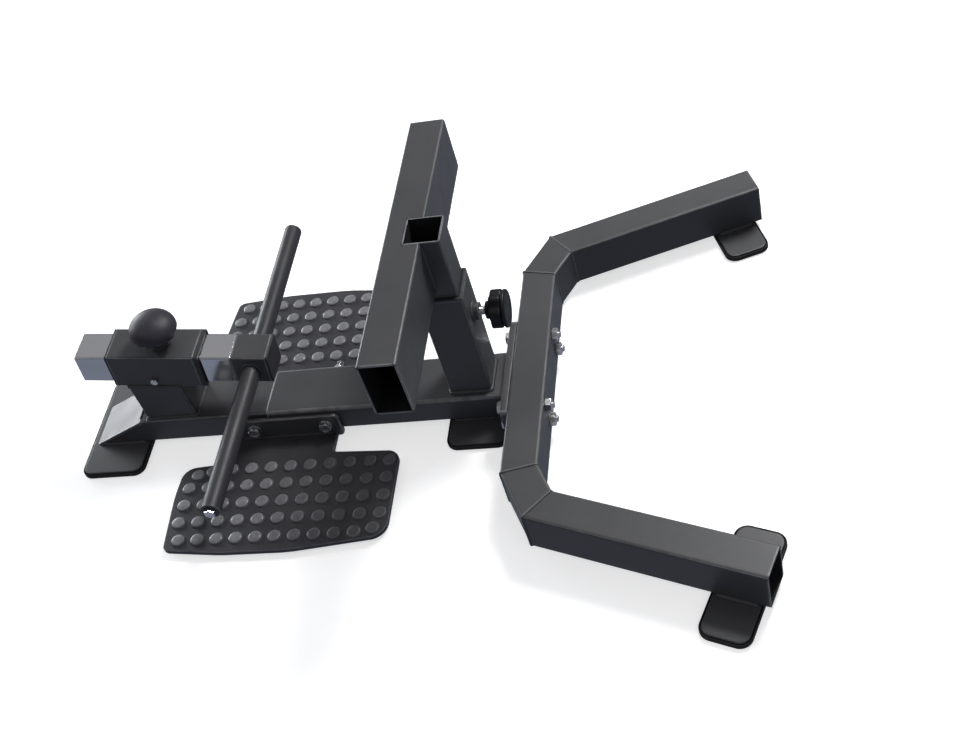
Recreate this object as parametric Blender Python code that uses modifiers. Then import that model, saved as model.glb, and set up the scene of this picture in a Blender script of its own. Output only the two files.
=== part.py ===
"""Sissy squat machine: a floor-standing steel frame with two studded foot plates,
an adjustable roller bar at the front and a height-adjustable calf support at the rear.

Frame of the part: metres, +Z up, floor at Z = 0. X runs along the spine, with the
front (toes) at -X and the rear arms at +X. Y = 0 is the plane of the spine.
"""

import math

import bmesh
import bpy
from mathutils import Matrix, Vector

# ---------------------------------------------------------------- driving dimensions
GAP = 0.0003            # clearance between pieces that touch or are welded together

PAD_H = 0.0047          # rubber foot pad under each foot plate
PAD_LIP = 0.0075        # top of the lip around the plate
FOOT_T = 0.004          # steel foot plate
FOOT_Z = 0.005          # underside of the foot plates
FLOOR_Z = FOOT_Z + FOOT_T + GAP   # underside of the spine and of the rear frame

SPINE_W, SPINE_H, SPINE_WALL, SPINE_R = 0.076, 0.044, 0.003, 0.0035
SPINE_REAR = 0.1454
WEDGE_TOP, WEDGE_BOTTOM, WEDGE_T = -0.417, -0.508, 0.004

SADDLE_T, SADDLE_FRONT, SADDLE_LOW = 0.004, -0.211, 0.0165

FRONT_FOOT_X, FRONT_FOOT_L, FRONT_FOOT_W = -0.467, 0.096, 0.188
REAR_FOOT_X, REAR_FOOT_L, REAR_FOOT_W = 0.099, 0.085, 0.170
ARM_FOOT_L, ARM_FOOT_W, FOOT_R = 0.061, 0.162, 0.014
ARM_FOOT_BACK = 0.012                  # from the arm's end to its foot

FRONT_POST_X, FRONT_POST_L, FRONT_POST_W, FRONT_POST_WALL = -0.364, 0.080, 0.064, 0.003

SLIDER_TILT = math.radians(7.0)        # the slider falls towards the rear
SLIDER_X, SLIDER_Z = -0.4088, 0.1565   # a point on the slider's axis, u = 0
SLEEVE_SIDE, SLEEVE_WALL = 0.060, 0.003
SLEEVE_U0, SLEEVE_U1 = -0.007, 0.1225
LINER_RIM_FRONT, LINER_RIM_REAR, LINER_DEPTH = 0.0025, 0.007, 0.028
SLIDE_SIDE, SLIDE_WALL = 0.050, 0.0025
SLIDE_U0, SLIDE_U1 = -0.0575, 0.1750
BLOCK_U1 = 0.2265
BAR_U, BAR_R, BAR_BORE, BAR_HALF = 0.2025, 0.0132, 0.0107, 0.2700
FRONT_CLAMP_U = 0.066
SCREW_U, SCREW_W = 0.054, -0.016

STUD_R, STUD_BORE = 0.0060, 0.0063
BOSS_R = 0.0120

PLATE_T, PLATE_Z = 0.007, 0.005
PLATE_X0, PLATE_X1, PLATE_Y0, PLATE_Y1 = -0.346, -0.0105, 0.086, 0.2525
NECK_X0, NECK_X1, NECK_Y = -0.270, -0.1135, 0.0520
FLANGE_X0, FLANGE_X1, FLANGE_T, FLANGE_TOP = -0.270, -0.1030, 0.006, 0.0490
PLATE_BOLT_X = (-0.235, -0.125)
PLATE_BOLT_Z = 0.0315

POST_X, POST_SIDE, POST_WALL, POST_TOP = 0.097, 0.060, 0.003, 0.2355
POST_LINER_RIM = 0.0025
HEIGHT_SIDE, HEIGHT_WALL = 0.050, 0.0025
HEIGHT_TOP, HEIGHT_BOTTOM = 0.3360, 0.0680
CALF_X, CALF_W, CALF_H, CALF_HALF, CALF_WALL = 0.0712, 0.050, 0.086, 0.2285, 0.003
REAR_CLAMP_Z = 0.185

END_PLATE_X0, END_PLATE_T, END_PLATE_HALF = 0.1457, 0.010, 0.087
REAR_W, REAR_H, REAR_WALL, REAR_R = 0.050, 0.064, 0.003, 0.0035
REAR_X = 0.1810
REAR_B = (0.1810, 0.1830)              # centre line: crossbar end, corner end, arm end
REAR_C = (0.2093, 0.2415)
REAR_E = (0.4986, 0.3433)
JOINT_BOLT_Y = (-0.066, 0.066)
JOINT_BOLT_Z = (0.0290, 0.0590)

BOLT_R, BOLT_HOLE = 0.0050, 0.0055     # M10 throughout
HEX_AF, HEX_H, NUT_H = 0.017, 0.0064, 0.0084
WASHER_R, WASHER_T = 0.0100, 0.0020
END_BOLT_R, END_BOLT_AF, END_BOLT_H = 0.0040, 0.013, 0.0053      # M8 in the ends of the roller bar

CENTRE_X = -0.0024                     # middle of the length, which becomes X = 0

# ---------------------------------------------------------------- empty scene
for old in list(bpy.data.objects):
    bpy.data.objects.remove(old, do_unlink=True)
for old in list(bpy.data.meshes):
    bpy.data.meshes.remove(old)

PART = bpy.data.collections.new("sissy_squat_machine")
CUTTERS = bpy.data.collections.new("cutters")
bpy.context.scene.collection.children.link(PART)
bpy.context.scene.collection.children.link(CUTTERS)


# ---------------------------------------------------------------- materials
def material(name, colour, roughness, metallic):
    found = bpy.data.materials.new(name)
    found.use_nodes = True
    shader = found.node_tree.nodes["Principled BSDF"]
    shader.inputs["Base Color"].default_value = (*colour, 1.0)
    shader.inputs["Roughness"].default_value = roughness
    shader.inputs["Metallic"].default_value = metallic
    found.diffuse_color = (*colour, 1.0)
    return found


POWDER = ((0.085, 0.088, 0.098), 0.48, 0.25)
CHROME = ((0.80, 0.80, 0.80), 0.12, 1.0)
ZINC = ((0.62, 0.63, 0.62), 0.30, 1.0)
PLASTIC = ((0.030, 0.028, 0.034), 0.45, 0.0)
LINER = ((0.020, 0.020, 0.022), 0.60, 0.0)
RUBBER = ((0.022, 0.022, 0.022), 0.80, 0.0)
PLATE = ((0.060, 0.060, 0.066), 0.55, 0.15)


# ---------------------------------------------------------------- shape helpers
def rounded_rect(width, height, radius, steps=3):
    """Outline of a rounded rectangle about the origin, anticlockwise."""
    points = []
    for cx, cy, start in (
        (width / 2 - radius, height / 2 - radius, 0),
        (-width / 2 + radius, height / 2 - radius, 90),
        (-width / 2 + radius, -height / 2 + radius, 180),
        (width / 2 - radius, -height / 2 + radius, 270),
    ):
        for i in range(steps + 1):
            angle = math.radians(start + 90 * i / steps)
            points.append((cx + radius * math.cos(angle), cy + radius * math.sin(angle)))
    return points


def filleted(corners, step):
    """Outline through (x, y, radius) corners, each rounded to its radius in chords of about step degrees."""
    points = []
    for i, (x, y, radius) in enumerate(corners):
        if radius == 0:
            points.append((x, y))
            continue
        corner = Vector((x, y))
        a = (Vector(corners[i - 1][:2]) - corner).normalized()
        b = (Vector(corners[(i + 1) % len(corners)][:2]) - corner).normalized()
        half = math.acos(a.dot(b)) / 2
        centre = corner + (a + b).normalized() * radius / math.sin(half)
        start, end = corner + a * radius / math.tan(half) - centre, corner + b * radius / math.tan(half) - centre
        first = math.atan2(start.y, start.x)
        sweep = (math.atan2(end.y, end.x) - first + math.pi) % (2 * math.pi) - math.pi
        steps = max(1, round(abs(math.degrees(sweep)) / step))
        for k in range(steps + 1):
            angle = first + sweep * k / steps
            points.append((centre.x + radius * math.cos(angle), centre.y + radius * math.sin(angle)))
    return points


def ring_outline(radius, count, phase=0.0):
    return [
        (radius * math.cos(phase + 2 * math.pi * i / count), radius * math.sin(phase + 2 * math.pi * i / count))
        for i in range(count)
    ]


def extruded(name, outlines, depth):
    """Mesh of filled 2D outlines (later ones are holes), centred on Z, depth long."""
    curve = bpy.data.curves.new(name, "CURVE")
    curve.dimensions = "2D"
    curve.fill_mode = "BOTH"
    curve.extrude = depth / 2
    for outline in outlines:
        spline = curve.splines.new("POLY")
        spline.points.add(len(outline) - 1)
        for point, (x, y) in zip(spline.points, outline):
            point.co = (x, y, 0.0, 1.0)
        spline.use_cyclic_u = True
    guide = bpy.data.objects.new(name + "_outline", curve)
    CUTTERS.objects.link(guide)
    bpy.context.view_layer.update()
    graph = bpy.context.evaluated_depsgraph_get()
    mesh = bpy.data.meshes.new_from_object(guide.evaluated_get(graph))
    bpy.data.objects.remove(guide, do_unlink=True)
    bpy.data.curves.remove(curve)
    shape = bmesh.new()
    shape.from_mesh(mesh)
    bmesh.ops.remove_doubles(shape, verts=shape.verts, dist=1e-6)
    bmesh.ops.recalc_face_normals(shape, faces=shape.faces)
    shape.to_mesh(mesh)
    shape.free()
    mesh.name = name
    return mesh


def piece(name, mesh, look, place=None, smooth=None):
    """The named object of a sub-part, with its own material."""
    made = bpy.data.objects.new(name, mesh)
    PART.objects.link(made)
    if place is not None:
        made.matrix_world = place
    mesh.materials.clear()
    mesh.materials.append(material(name, *look))
    if smooth:
        mesh.shade_smooth()
        mesh.set_sharp_from_angle(angle=math.radians(smooth))
    return made


def helper(name, mesh, place=None):
    made = bpy.data.objects.new(name, mesh)
    CUTTERS.objects.link(made)
    if place is not None:
        made.matrix_world = place
    made.hide_render = True
    made.display_type = "WIRE"
    return made


def boolean(target, other, operation="DIFFERENCE"):
    cut = target.modifiers.new(other.name, "BOOLEAN")
    cut.operation = operation
    cut.solver = "EXACT"
    cut.object = other


def box_mesh(name, low, high):
    shape = bmesh.new()
    bmesh.ops.create_cube(shape, size=1.0)
    size = [b - a for a, b in zip(low, high)]
    centre = [(a + b) / 2 for a, b in zip(low, high)]
    bmesh.ops.scale(shape, vec=size, verts=shape.verts)
    bmesh.ops.translate(shape, vec=centre, verts=shape.verts)
    mesh = bpy.data.meshes.new(name)
    shape.to_mesh(mesh)
    shape.free()
    return mesh


def rod_mesh(name, radius, low, high, count=24):
    """Cylinder on the Z axis from low to high."""
    shape = bmesh.new()
    bmesh.ops.create_cone(
        shape, cap_ends=True, segments=count, radius1=radius, radius2=radius, depth=high - low,
        matrix=Matrix.Translation((0, 0, (low + high) / 2)),
    )
    mesh = bpy.data.meshes.new(name)
    shape.to_mesh(mesh)
    shape.free()
    return mesh


def turned(name, profile, look, place, steps=32, smooth=40):
    """A closed profile of (radius, height) points turned about the Z axis.
    It runs down the outer side, from top to bottom."""
    mesh = bpy.data.meshes.new(name)
    count = len(profile)
    open_ends = profile[0][0] == 0 and profile[-1][0] == 0
    edges = [(i, i + 1) for i in range(count - 1)] + ([] if open_ends else [(count - 1, 0)])
    mesh.from_pydata([(r, 0, z) for r, z in profile], edges, [])
    made = piece(name, mesh, look, place)
    screw = made.modifiers.new("turn", "SCREW")
    screw.axis = "Z"
    screw.steps = screw.render_steps = steps
    screw.use_merge_vertices = True
    screw.merge_threshold = 0.00001
    screw.use_smooth_shade = True
    return made


def axis_place(origin, z_axis, x_axis):
    """Matrix whose local Z and X run along the two given directions."""
    z = Vector(z_axis).normalized()
    x = Vector(x_axis).normalized()
    y = z.cross(x)
    return Matrix.Translation(origin) @ Matrix((x, y, z)).transposed().to_4x4()


ALONG_X = lambda x, y, z: axis_place((x, y, z), (1, 0, 0), (0, 1, 0))      # local X = +Y, Y = +Z
ALONG_Y = lambda x, y, z: axis_place((x, y, z), (0, 1, 0), (0, 0, 1))      # local X = +Z, Y = +X
ALONG_Z = lambda x, y, z: Matrix.Translation((x, y, z))


def tube_mesh(name, width, height, wall, radius, length, steps=3):
    outer = rounded_rect(width, height, radius, steps)
    inner = rounded_rect(width - 2 * wall, height - 2 * wall, max(radius - wall, 0.0012), steps)
    return extruded(name, [outer, inner], length)


def shear_end(mesh, end, slope_x=0.0, slope_y=0.0):
    """Tilts the end cap at local +Z (end = 1) or -Z (end = -1) into a mitre plane."""
    for vertex in mesh.vertices:
        if vertex.co.z * end > 0:
            vertex.co.z += slope_x * vertex.co.x + slope_y * vertex.co.y


def hexagon(across):
    return ring_outline(across / math.sqrt(3), 6, math.radians(30))


# ---------------------------------------------------------------- feet
def foot(name, centre, length, width, turn=0.0):
    """Steel foot plate with its rubber boot. length runs along the tube it carries."""
    place = Matrix.Translation((*centre, 0.0)) @ Matrix.Rotation(turn, 4, "Z")
    plate = extruded(name + "_plate", [rounded_rect(length, width, FOOT_R, 4)], FOOT_T)
    piece(name + "_plate", plate, POWDER, place @ Matrix.Translation((0, 0, FOOT_Z + FOOT_T / 2)))
    shape = bmesh.new()
    shape.from_mesh(extruded(name + "_pad", [rounded_rect(length + 0.006, width + 0.006, FOOT_R + 0.003, 4)], PAD_LIP))
    bmesh.ops.translate(shape, vec=(0, 0, PAD_LIP / 2), verts=shape.verts)
    bmesh.ops.dissolve_limit(shape, angle_limit=0.01, verts=shape.verts, edges=shape.edges)
    top = [face for face in shape.faces if face.normal.z > 0.9]
    bmesh.ops.inset_region(shape, faces=top, thickness=0.003 - GAP, use_even_offset=True)
    pocket = [face for face in shape.faces if face.normal.z > 0.9 and len(face.verts) > 4]
    made = bmesh.ops.extrude_face_region(shape, geom=pocket)
    bmesh.ops.delete(shape, geom=pocket, context="FACES_ONLY")
    bmesh.ops.translate(
        shape, vec=(0, 0, PAD_H - PAD_LIP), verts=[v for v in made["geom"] if isinstance(v, bmesh.types.BMVert)]
    )
    bmesh.ops.recalc_face_normals(shape, faces=shape.faces)
    pad = bpy.data.meshes.new(name + "_pad")
    shape.to_mesh(pad)
    shape.free()
    piece(name + "_pad", pad, RUBBER, place)


foot("front_foot", (FRONT_FOOT_X, 0), FRONT_FOOT_L, FRONT_FOOT_W)
foot("rear_foot", (REAR_FOOT_X, 0), REAR_FOOT_L, REAR_FOOT_W)
ARM_DIR = Vector((REAR_E[0] - REAR_C[0], REAR_E[1] - REAR_C[1])).normalized()
ARM_TURN = math.atan2(ARM_DIR.y, ARM_DIR.x)
for side, sign in (("left", 1), ("right", -1)):
    inset = ARM_FOOT_L / 2 + ARM_FOOT_BACK
    centre = (REAR_E[0] - ARM_DIR.x * inset, sign * (REAR_E[1] - ARM_DIR.y * inset))
    foot("arm_foot_" + side, centre, ARM_FOOT_L, ARM_FOOT_W, sign * ARM_TURN)

# ---------------------------------------------------------------- spine
SPINE_MID = FLOOR_Z + SPINE_H / 2
WEDGE_RUN = (WEDGE_TOP - WEDGE_BOTTOM) / SPINE_H            # X per metre of height
WEDGE_ANGLE = math.atan2(SPINE_H, WEDGE_TOP - WEDGE_BOTTOM)
WEDGE_MID = (WEDGE_TOP + WEDGE_BOTTOM) / 2
CUT_MID = WEDGE_MID + (WEDGE_T + GAP) / math.sin(WEDGE_ANGLE)

spine = tube_mesh("main_beam", SPINE_W, SPINE_H, SPINE_WALL, SPINE_R, SPINE_REAR - CUT_MID)
shear_end(spine, -1, slope_y=WEDGE_RUN)                     # local Y is world Z here
main_beam = piece("main_beam", spine, POWDER, ALONG_X((SPINE_REAR + CUT_MID) / 2, 0, SPINE_MID))

wedge_length = math.hypot(SPINE_H, WEDGE_TOP - WEDGE_BOTTOM) + 0.001 - 2 * GAP
wedge = extruded("front_wedge_plate", [rounded_rect(wedge_length - 0.001, SPINE_W, 0.003, 2)], WEDGE_T)
for vertex in wedge.vertices:                               # both ends are cut level
    vertex.co.x += (WEDGE_T / 2 - vertex.co.z) / math.tan(WEDGE_ANGLE)
slope = Vector((WEDGE_TOP - WEDGE_BOTTOM, 0, SPINE_H)).normalized()
normal = Vector((-slope.z, 0, slope.x))
middle = Vector((WEDGE_MID, 0, SPINE_MID)) - normal * WEDGE_T / 2
wedge_plate = piece("front_wedge_plate", wedge, POWDER, axis_place(middle, normal, slope))

# ---------------------------------------------------------------- saddle over the spine
half_in = SPINE_W / 2 + GAP
half_out = half_in + SADDLE_T
saddle_top = FLOOR_Z + SPINE_H + GAP + SADDLE_T


def saddle_outline():
    points = [(-half_out, SADDLE_LOW)]
    points += [(-half_in, SADDLE_LOW), (-half_in, saddle_top - SADDLE_T), (half_in, saddle_top - SADDLE_T),
               (half_in, SADDLE_LOW), (half_out, SADDLE_LOW)]
    radius = 0.005
    for cx, start in ((half_out - radius, 0), (-half_out + radius, 90)):
        for i in range(4):
            angle = math.radians(start + 30 * i)
            points.append((cx + radius * math.cos(angle), saddle_top - radius + radius * math.sin(angle)))
    return points


saddle_mesh = extruded("saddle", [saddle_outline()], SPINE_REAR - SADDLE_FRONT)
saddle = piece("saddle", saddle_mesh, POWDER, ALONG_X((SPINE_REAR + SADDLE_FRONT) / 2, 0, 0))

# ---------------------------------------------------------------- foot plates
FLANGE_IN = half_out + GAP
FLANGE_OUT = FLANGE_IN + FLANGE_T


def plate_outline():
    """Top view of the studded plate with its neck, near corner first, anticlockwise in (x, y)."""
    return filleted([
        (NECK_X0, FLANGE_IN, 0), (NECK_X1, FLANGE_IN, 0),
        (NECK_X1, PLATE_Y0 - 0.0025, 0.007),                            # inner corner by the neck
        (PLATE_X1 - 0.0010, PLATE_Y0 + 0.0025, 0.020),
        (PLATE_X1, PLATE_Y1 - 0.0180, 0.026),
        (-0.150, PLATE_Y1 - 0.0010, 0.15), (-0.250, PLATE_Y1 - 0.0010, 0.15),      # the outer edge bows
        (PLATE_X0 + 0.0075, PLATE_Y1 - 0.0090, 0.012),
        (PLATE_X0, 0.150, 0.12),                                        # and so does the front edge
        (PLATE_X0 + 0.0025, PLATE_Y0 + 0.0125, 0.022),
        (NECK_X0, PLATE_Y0 + 0.0065, 0.006),
    ], 18)


def foot_plate(name, sign):
    base = extruded(name, [plate_outline()], PLATE_T)
    if sign < 0:
        base.transform(Matrix.Scale(-1, 4, (0, 1, 0)))
        base.flip_normals()
    made = piece(name, base, PLATE, ALONG_Z(0, 0, PLATE_Z + PLATE_T / 2))
    flange = extruded(name + "_flange", [rounded_rect(FLANGE_X1 - FLANGE_X0, FLANGE_TOP - PLATE_Z, 0.008, 3)], FLANGE_T)
    y = sign * (FLANGE_IN + FLANGE_OUT) / 2
    upright = helper(
        name + "_flange", flange,
        axis_place(((FLANGE_X0 + FLANGE_X1) / 2, y, (FLANGE_TOP + PLATE_Z) / 2), (0, -1, 0), (1, 0, 0)),
    )
    boolean(made, upright, "UNION")
    return made


plate_left = foot_plate("foot_plate_left", 1)
plate_right = foot_plate("foot_plate_right", -1)


def bolt(name, place, length, radius=BOLT_R, across=HEX_AF, head_h=HEX_H):
    """Hexagon bolt: head from Z = 0 up to head_h, shank down to Z = -length."""
    shank = rod_mesh(name, radius, -length, head_h / 2, 16)
    made = piece(name, shank, ZINC, place)
    head_mesh = extruded(name + "_head", [hexagon(across)], head_h)
    boolean(made, helper(name + "_head", head_mesh, place @ Matrix.Translation((0, 0, head_h / 2))), "UNION")
    return made


def nut(name, place, look=ZINC):
    """Hexagon nut from Z = 0 to NUT_H."""
    mesh = extruded(name, [hexagon(HEX_AF), ring_outline(BOLT_R + GAP, 16)], NUT_H)
    return piece(name, mesh, look, place @ Matrix.Translation((0, 0, NUT_H / 2)))


def washer(name, place, radius=WASHER_R, look=ZINC):
    """Washer from Z = 0 to WASHER_T."""
    mesh = extruded(name, [ring_outline(radius, 24), ring_outline(BOLT_R + GAP, 16)], WASHER_T)
    return piece(name, mesh, look, place @ Matrix.Translation((0, 0, WASHER_T / 2)))


WASHER_FACE = FLANGE_OUT + GAP
HEAD_FACE = WASHER_FACE + WASHER_T + GAP
for label, x in zip(("front", "rear"), PLATE_BOLT_X):
    hole = helper("plate_bolt_hole_" + label, rod_mesh("plate_bolt_hole_" + label, BOLT_HOLE, -0.09, 0.09, 16),
                  ALONG_Y(x, 0, PLATE_BOLT_Z))
    for target in (main_beam, saddle, plate_left, plate_right):
        boolean(target, hole)
    near = axis_place((x, -HEAD_FACE, PLATE_BOLT_Z), (0, -1, 0), (1, 0, 0))
    bolt("plate_bolt_" + label, near, 2 * HEAD_FACE + NUT_H + 0.014)
    washer("plate_washer_near_" + label, axis_place((x, -WASHER_FACE, PLATE_BOLT_Z), (0, -1, 0), (1, 0, 0)))
    washer("plate_washer_far_" + label, axis_place((x, WASHER_FACE, PLATE_BOLT_Z), (0, 1, 0), (1, 0, 0)))
    nut("plate_nut_" + label, axis_place((x, HEAD_FACE, PLATE_BOLT_Z), (0, 1, 0), (1, 0, 0)))

# ---------------------------------------------------------------- front post and slider
TILT = Matrix.Rotation(SLIDER_TILT, 4, "Y")
SLIDER = Matrix.Translation((SLIDER_X, 0, SLIDER_Z)) @ TILT      # local X = u, local Z = up from the tube


def on_slider(u, v=0.0, w=0.0):
    return SLIDER @ Matrix.Translation((u, v, w))


def slider_axis_z(x):
    return SLIDER_Z - (x - SLIDER_X) * math.tan(SLIDER_TILT)


ALONG_U = Matrix(((0, 0, 1, 0), (1, 0, 0, 0), (0, 1, 0, 0), (0, 0, 0, 1)))   # local Z to u, X to v, Y to w

post_low = FLOOR_Z + SPINE_H + GAP
post_high = slider_axis_z(FRONT_POST_X) - (SLEEVE_SIDE / 2 + GAP) / math.cos(SLIDER_TILT)
post_mesh = tube_mesh("front_post", FRONT_POST_L, FRONT_POST_W, FRONT_POST_WALL, 0.004, post_high - post_low)
shear_end(post_mesh, 1, slope_x=-math.tan(SLIDER_TILT))
piece("front_post", post_mesh, POWDER, ALONG_Z(FRONT_POST_X, 0, (post_high + post_low) / 2))

sleeve_mesh = tube_mesh("front_sleeve", SLEEVE_SIDE, SLEEVE_SIDE, SLEEVE_WALL, 0.004, SLEEVE_U1 - SLEEVE_U0)
sleeve = piece("front_sleeve", sleeve_mesh, POWDER, on_slider((SLEEVE_U0 + SLEEVE_U1) / 2) @ ALONG_U)
stud_hole = helper("front_stud_hole", rod_mesh("front_stud_hole", STUD_BORE, 0.010, 0.050), on_slider(FRONT_CLAMP_U))
boolean(sleeve, stud_hole)
side_hole = helper(
    "sleeve_screw_hole", rod_mesh("sleeve_screw_hole", 0.0036, -0.045, -0.015, 16),
    on_slider(SCREW_U, 0, SCREW_W) @ Matrix.Rotation(math.radians(-90), 4, "X"),
)
boolean(sleeve, side_hole)


def liner(name, place, outer, inner, rim, depth, bore):
    """Square plastic liner: a rim from Z = 0 to rim, and a sleeve down to Z = -depth."""
    body = extruded(name, [rounded_rect(outer, outer, 0.004)], rim)
    body.transform(Matrix.Translation((0, 0, rim / 2)))
    made = piece(name, body, LINER, place)
    skirt = extruded(name + "_skirt", [rounded_rect(inner, inner, 0.002)], depth + rim / 2)
    skirt.transform(Matrix.Translation((0, 0, (rim / 2 - depth) / 2)))
    boolean(made, helper(name + "_skirt", skirt, place), "UNION")
    hollow = extruded(name + "_bore", [rounded_rect(bore, bore, 0.003)], depth + rim + 0.02)
    hollow.transform(Matrix.Translation((0, 0, (rim - depth) / 2)))
    boolean(made, helper(name + "_bore", hollow, place))
    return made


LINER_IN = SLEEVE_SIDE - 2 * SLEEVE_WALL - 2 * GAP
LINER_BORE = SLIDE_SIDE + 0.001
liner("sleeve_liner_front", on_slider(SLEEVE_U0 - GAP) @ ALONG_U @ Matrix.Rotation(math.pi, 4, "X"),
      SLEEVE_SIDE, LINER_IN, LINER_RIM_FRONT, LINER_DEPTH, LINER_BORE)
liner("sleeve_liner_rear", on_slider(SLEEVE_U1 + GAP) @ ALONG_U,
      SLEEVE_SIDE, LINER_IN, LINER_RIM_REAR, LINER_DEPTH, LINER_BORE)

slide_mesh = tube_mesh("slide_tube", SLIDE_SIDE, SLIDE_SIDE, SLIDE_WALL, 0.003, SLIDE_U1 - SLIDE_U0)
piece("slide_tube", slide_mesh, CHROME, on_slider((SLIDE_U0 + SLIDE_U1) / 2) @ ALONG_U)

block_u0 = SLIDE_U1 + GAP
block_mesh = tube_mesh("bar_block", SLIDE_SIDE, SLIDE_SIDE, 0.003, 0.0038, BLOCK_U1 - block_u0)
block = piece("bar_block", block_mesh, POWDER, on_slider((block_u0 + BLOCK_U1) / 2) @ ALONG_U)
BAR_AXIS = on_slider(BAR_U) @ Matrix.Rotation(math.radians(-90), 4, "X")     # local Z = +Y
boolean(block, helper("bar_hole", rod_mesh("bar_hole", BAR_R + GAP, -0.04, 0.04, 32), BAR_AXIS))

cap = extruded("bar_block_cap", [rounded_rect(SLIDE_SIDE, SLIDE_SIDE, 0.003)], 0.003)
cap.transform(Matrix.Translation((0, 0, 0.0015)))
cap_piece = piece("bar_block_cap", cap, LINER, on_slider(BLOCK_U1 + GAP) @ ALONG_U)
plug = extruded("bar_block_cap_plug", [rounded_rect(0.0434, 0.0434, 0.002)], 0.010)
plug.transform(Matrix.Translation((0, 0, -0.004)))
boolean(cap_piece, helper("bar_block_cap_plug", plug, on_slider(BLOCK_U1 + GAP) @ ALONG_U), "UNION")

END = 0.025                                                # length of the threaded ends
turned(
    "roller_bar",
    [(BAR_R - 0.001, BAR_HALF), (BAR_R, BAR_HALF - 0.001), (BAR_R, -BAR_HALF + 0.001), (BAR_R - 0.001, -BAR_HALF),
     (END_BOLT_R + GAP, -BAR_HALF), (END_BOLT_R + GAP, -BAR_HALF + END), (BAR_BORE, -BAR_HALF + END + 0.004),
     (BAR_BORE, BAR_HALF - END - 0.004), (END_BOLT_R + GAP, BAR_HALF - END), (END_BOLT_R + GAP, BAR_HALF)],
    POWDER, BAR_AXIS, 32,
)
for side, turn in (("left", 0.0), ("right", math.pi)):
    face = BAR_AXIS @ Matrix.Rotation(turn, 4, "X") @ Matrix.Translation((0, 0, BAR_HALF + GAP))
    bolt("bar_bolt_" + side, face, 0.022, END_BOLT_R, END_BOLT_AF, END_BOLT_H)

# set screw low on the near side of the sleeve, with its tip just short of the slide tube
screw_place = on_slider(SCREW_U, -(SLEEVE_SIDE / 2 + GAP), SCREW_W) @ Matrix.Rotation(math.radians(90), 4, "X")
screw = piece("sleeve_set_screw", rod_mesh("sleeve_set_screw", 0.003, -0.0046, 0.003, 12), ZINC, screw_place)
screw_head = helper("sleeve_set_screw_head", extruded("sleeve_set_screw_head", [hexagon(0.010)], 0.005),
                    screw_place @ Matrix.Translation((0, 0, 0.0025)))
boolean(screw, screw_head, "UNION")

# ---------------------------------------------------------------- clamps


def boss(name, place, length):
    mesh = extruded(name, [ring_outline(BOSS_R, 24), ring_outline(STUD_BORE, 24)], length)
    return piece(name, mesh, POWDER, place @ Matrix.Translation((0, 0, length / 2)))


FRONT_CLAMP = on_slider(FRONT_CLAMP_U)                                     # local Z points out of the sleeve
boss("front_clamp_boss", FRONT_CLAMP @ Matrix.Translation((0, 0, SLEEVE_SIDE / 2 + GAP)), 0.010)
stud_low = SLIDE_SIDE / 2 + GAP
front_stud = rod_mesh("front_clamp_stud", STUD_R, stud_low, 0.064, 24)
piece("front_clamp_stud", front_stud, ZINC, FRONT_CLAMP)
KNOB_LOW, KNOB_R = 0.0495, 0.0342
turned(
    "front_knob",
    [(0, KNOB_LOW + 0.0335), (0.0100, KNOB_LOW + 0.0327), (0.0190, KNOB_LOW + 0.0301), (0.0265, KNOB_LOW + 0.0252),
     (0.0314, KNOB_LOW + 0.0184), (0.0337, KNOB_LOW + 0.0120), (KNOB_R, KNOB_LOW + 0.0090),
     (0.0334, KNOB_LOW + 0.0072), (0.0302, KNOB_LOW), (0.0272, KNOB_LOW - 0.0006), (0.0250, KNOB_LOW + 0.0050),
     (0.0120, KNOB_LOW + 0.0050), (0.0110, KNOB_LOW - 0.0006), (STUD_BORE, KNOB_LOW - 0.0006),
     (STUD_BORE, 0.0643), (0, 0.0643)],
    PLASTIC, FRONT_CLAMP, 40,
)

REAR_CLAMP = axis_place((POST_X, 0, REAR_CLAMP_Z), (1, 0, 0), (0, 1, 0))   # local Z points to the rear
boss("rear_clamp_boss", REAR_CLAMP @ Matrix.Translation((0, 0, POST_SIDE / 2 + GAP)), 0.009)
rear_stud = rod_mesh("rear_clamp_stud", STUD_R, HEIGHT_SIDE / 2 + GAP, 0.066, 24)
piece("rear_clamp_stud", rear_stud, ZINC, REAR_CLAMP)


def star_outline(radius, depth, lobes, count):
    return [                                               # radius is that of the lobes' tips
        ((radius - depth / 2 + depth / 2 * math.cos(lobes * a)) * math.cos(a),
         (radius - depth / 2 + depth / 2 * math.cos(lobes * a)) * math.sin(a))
        for a in (2 * math.pi * i / count for i in range(count))
    ]


STAR_LOW, STAR_HIGH, STAR_R = 0.0555, 0.0780, 0.0268
knob_mesh = extruded("rear_knob", [star_outline(STAR_R, 0.0036, 7, 84)], STAR_HIGH - STAR_LOW)
knob_mesh.transform(Matrix.Translation((0, 0, (STAR_LOW + STAR_HIGH) / 2)))
rear_knob = piece("rear_knob", knob_mesh, PLASTIC, REAR_CLAMP)
hub = rod_mesh("rear_knob_hub", 0.0120, 0.0480, 0.065, 24)
boolean(rear_knob, helper("rear_knob_hub", hub, REAR_CLAMP), "UNION")
boolean(rear_knob, helper("rear_knob_bore", rod_mesh("rear_knob_bore", STUD_BORE, 0.040, 0.0663), REAR_CLAMP))

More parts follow.
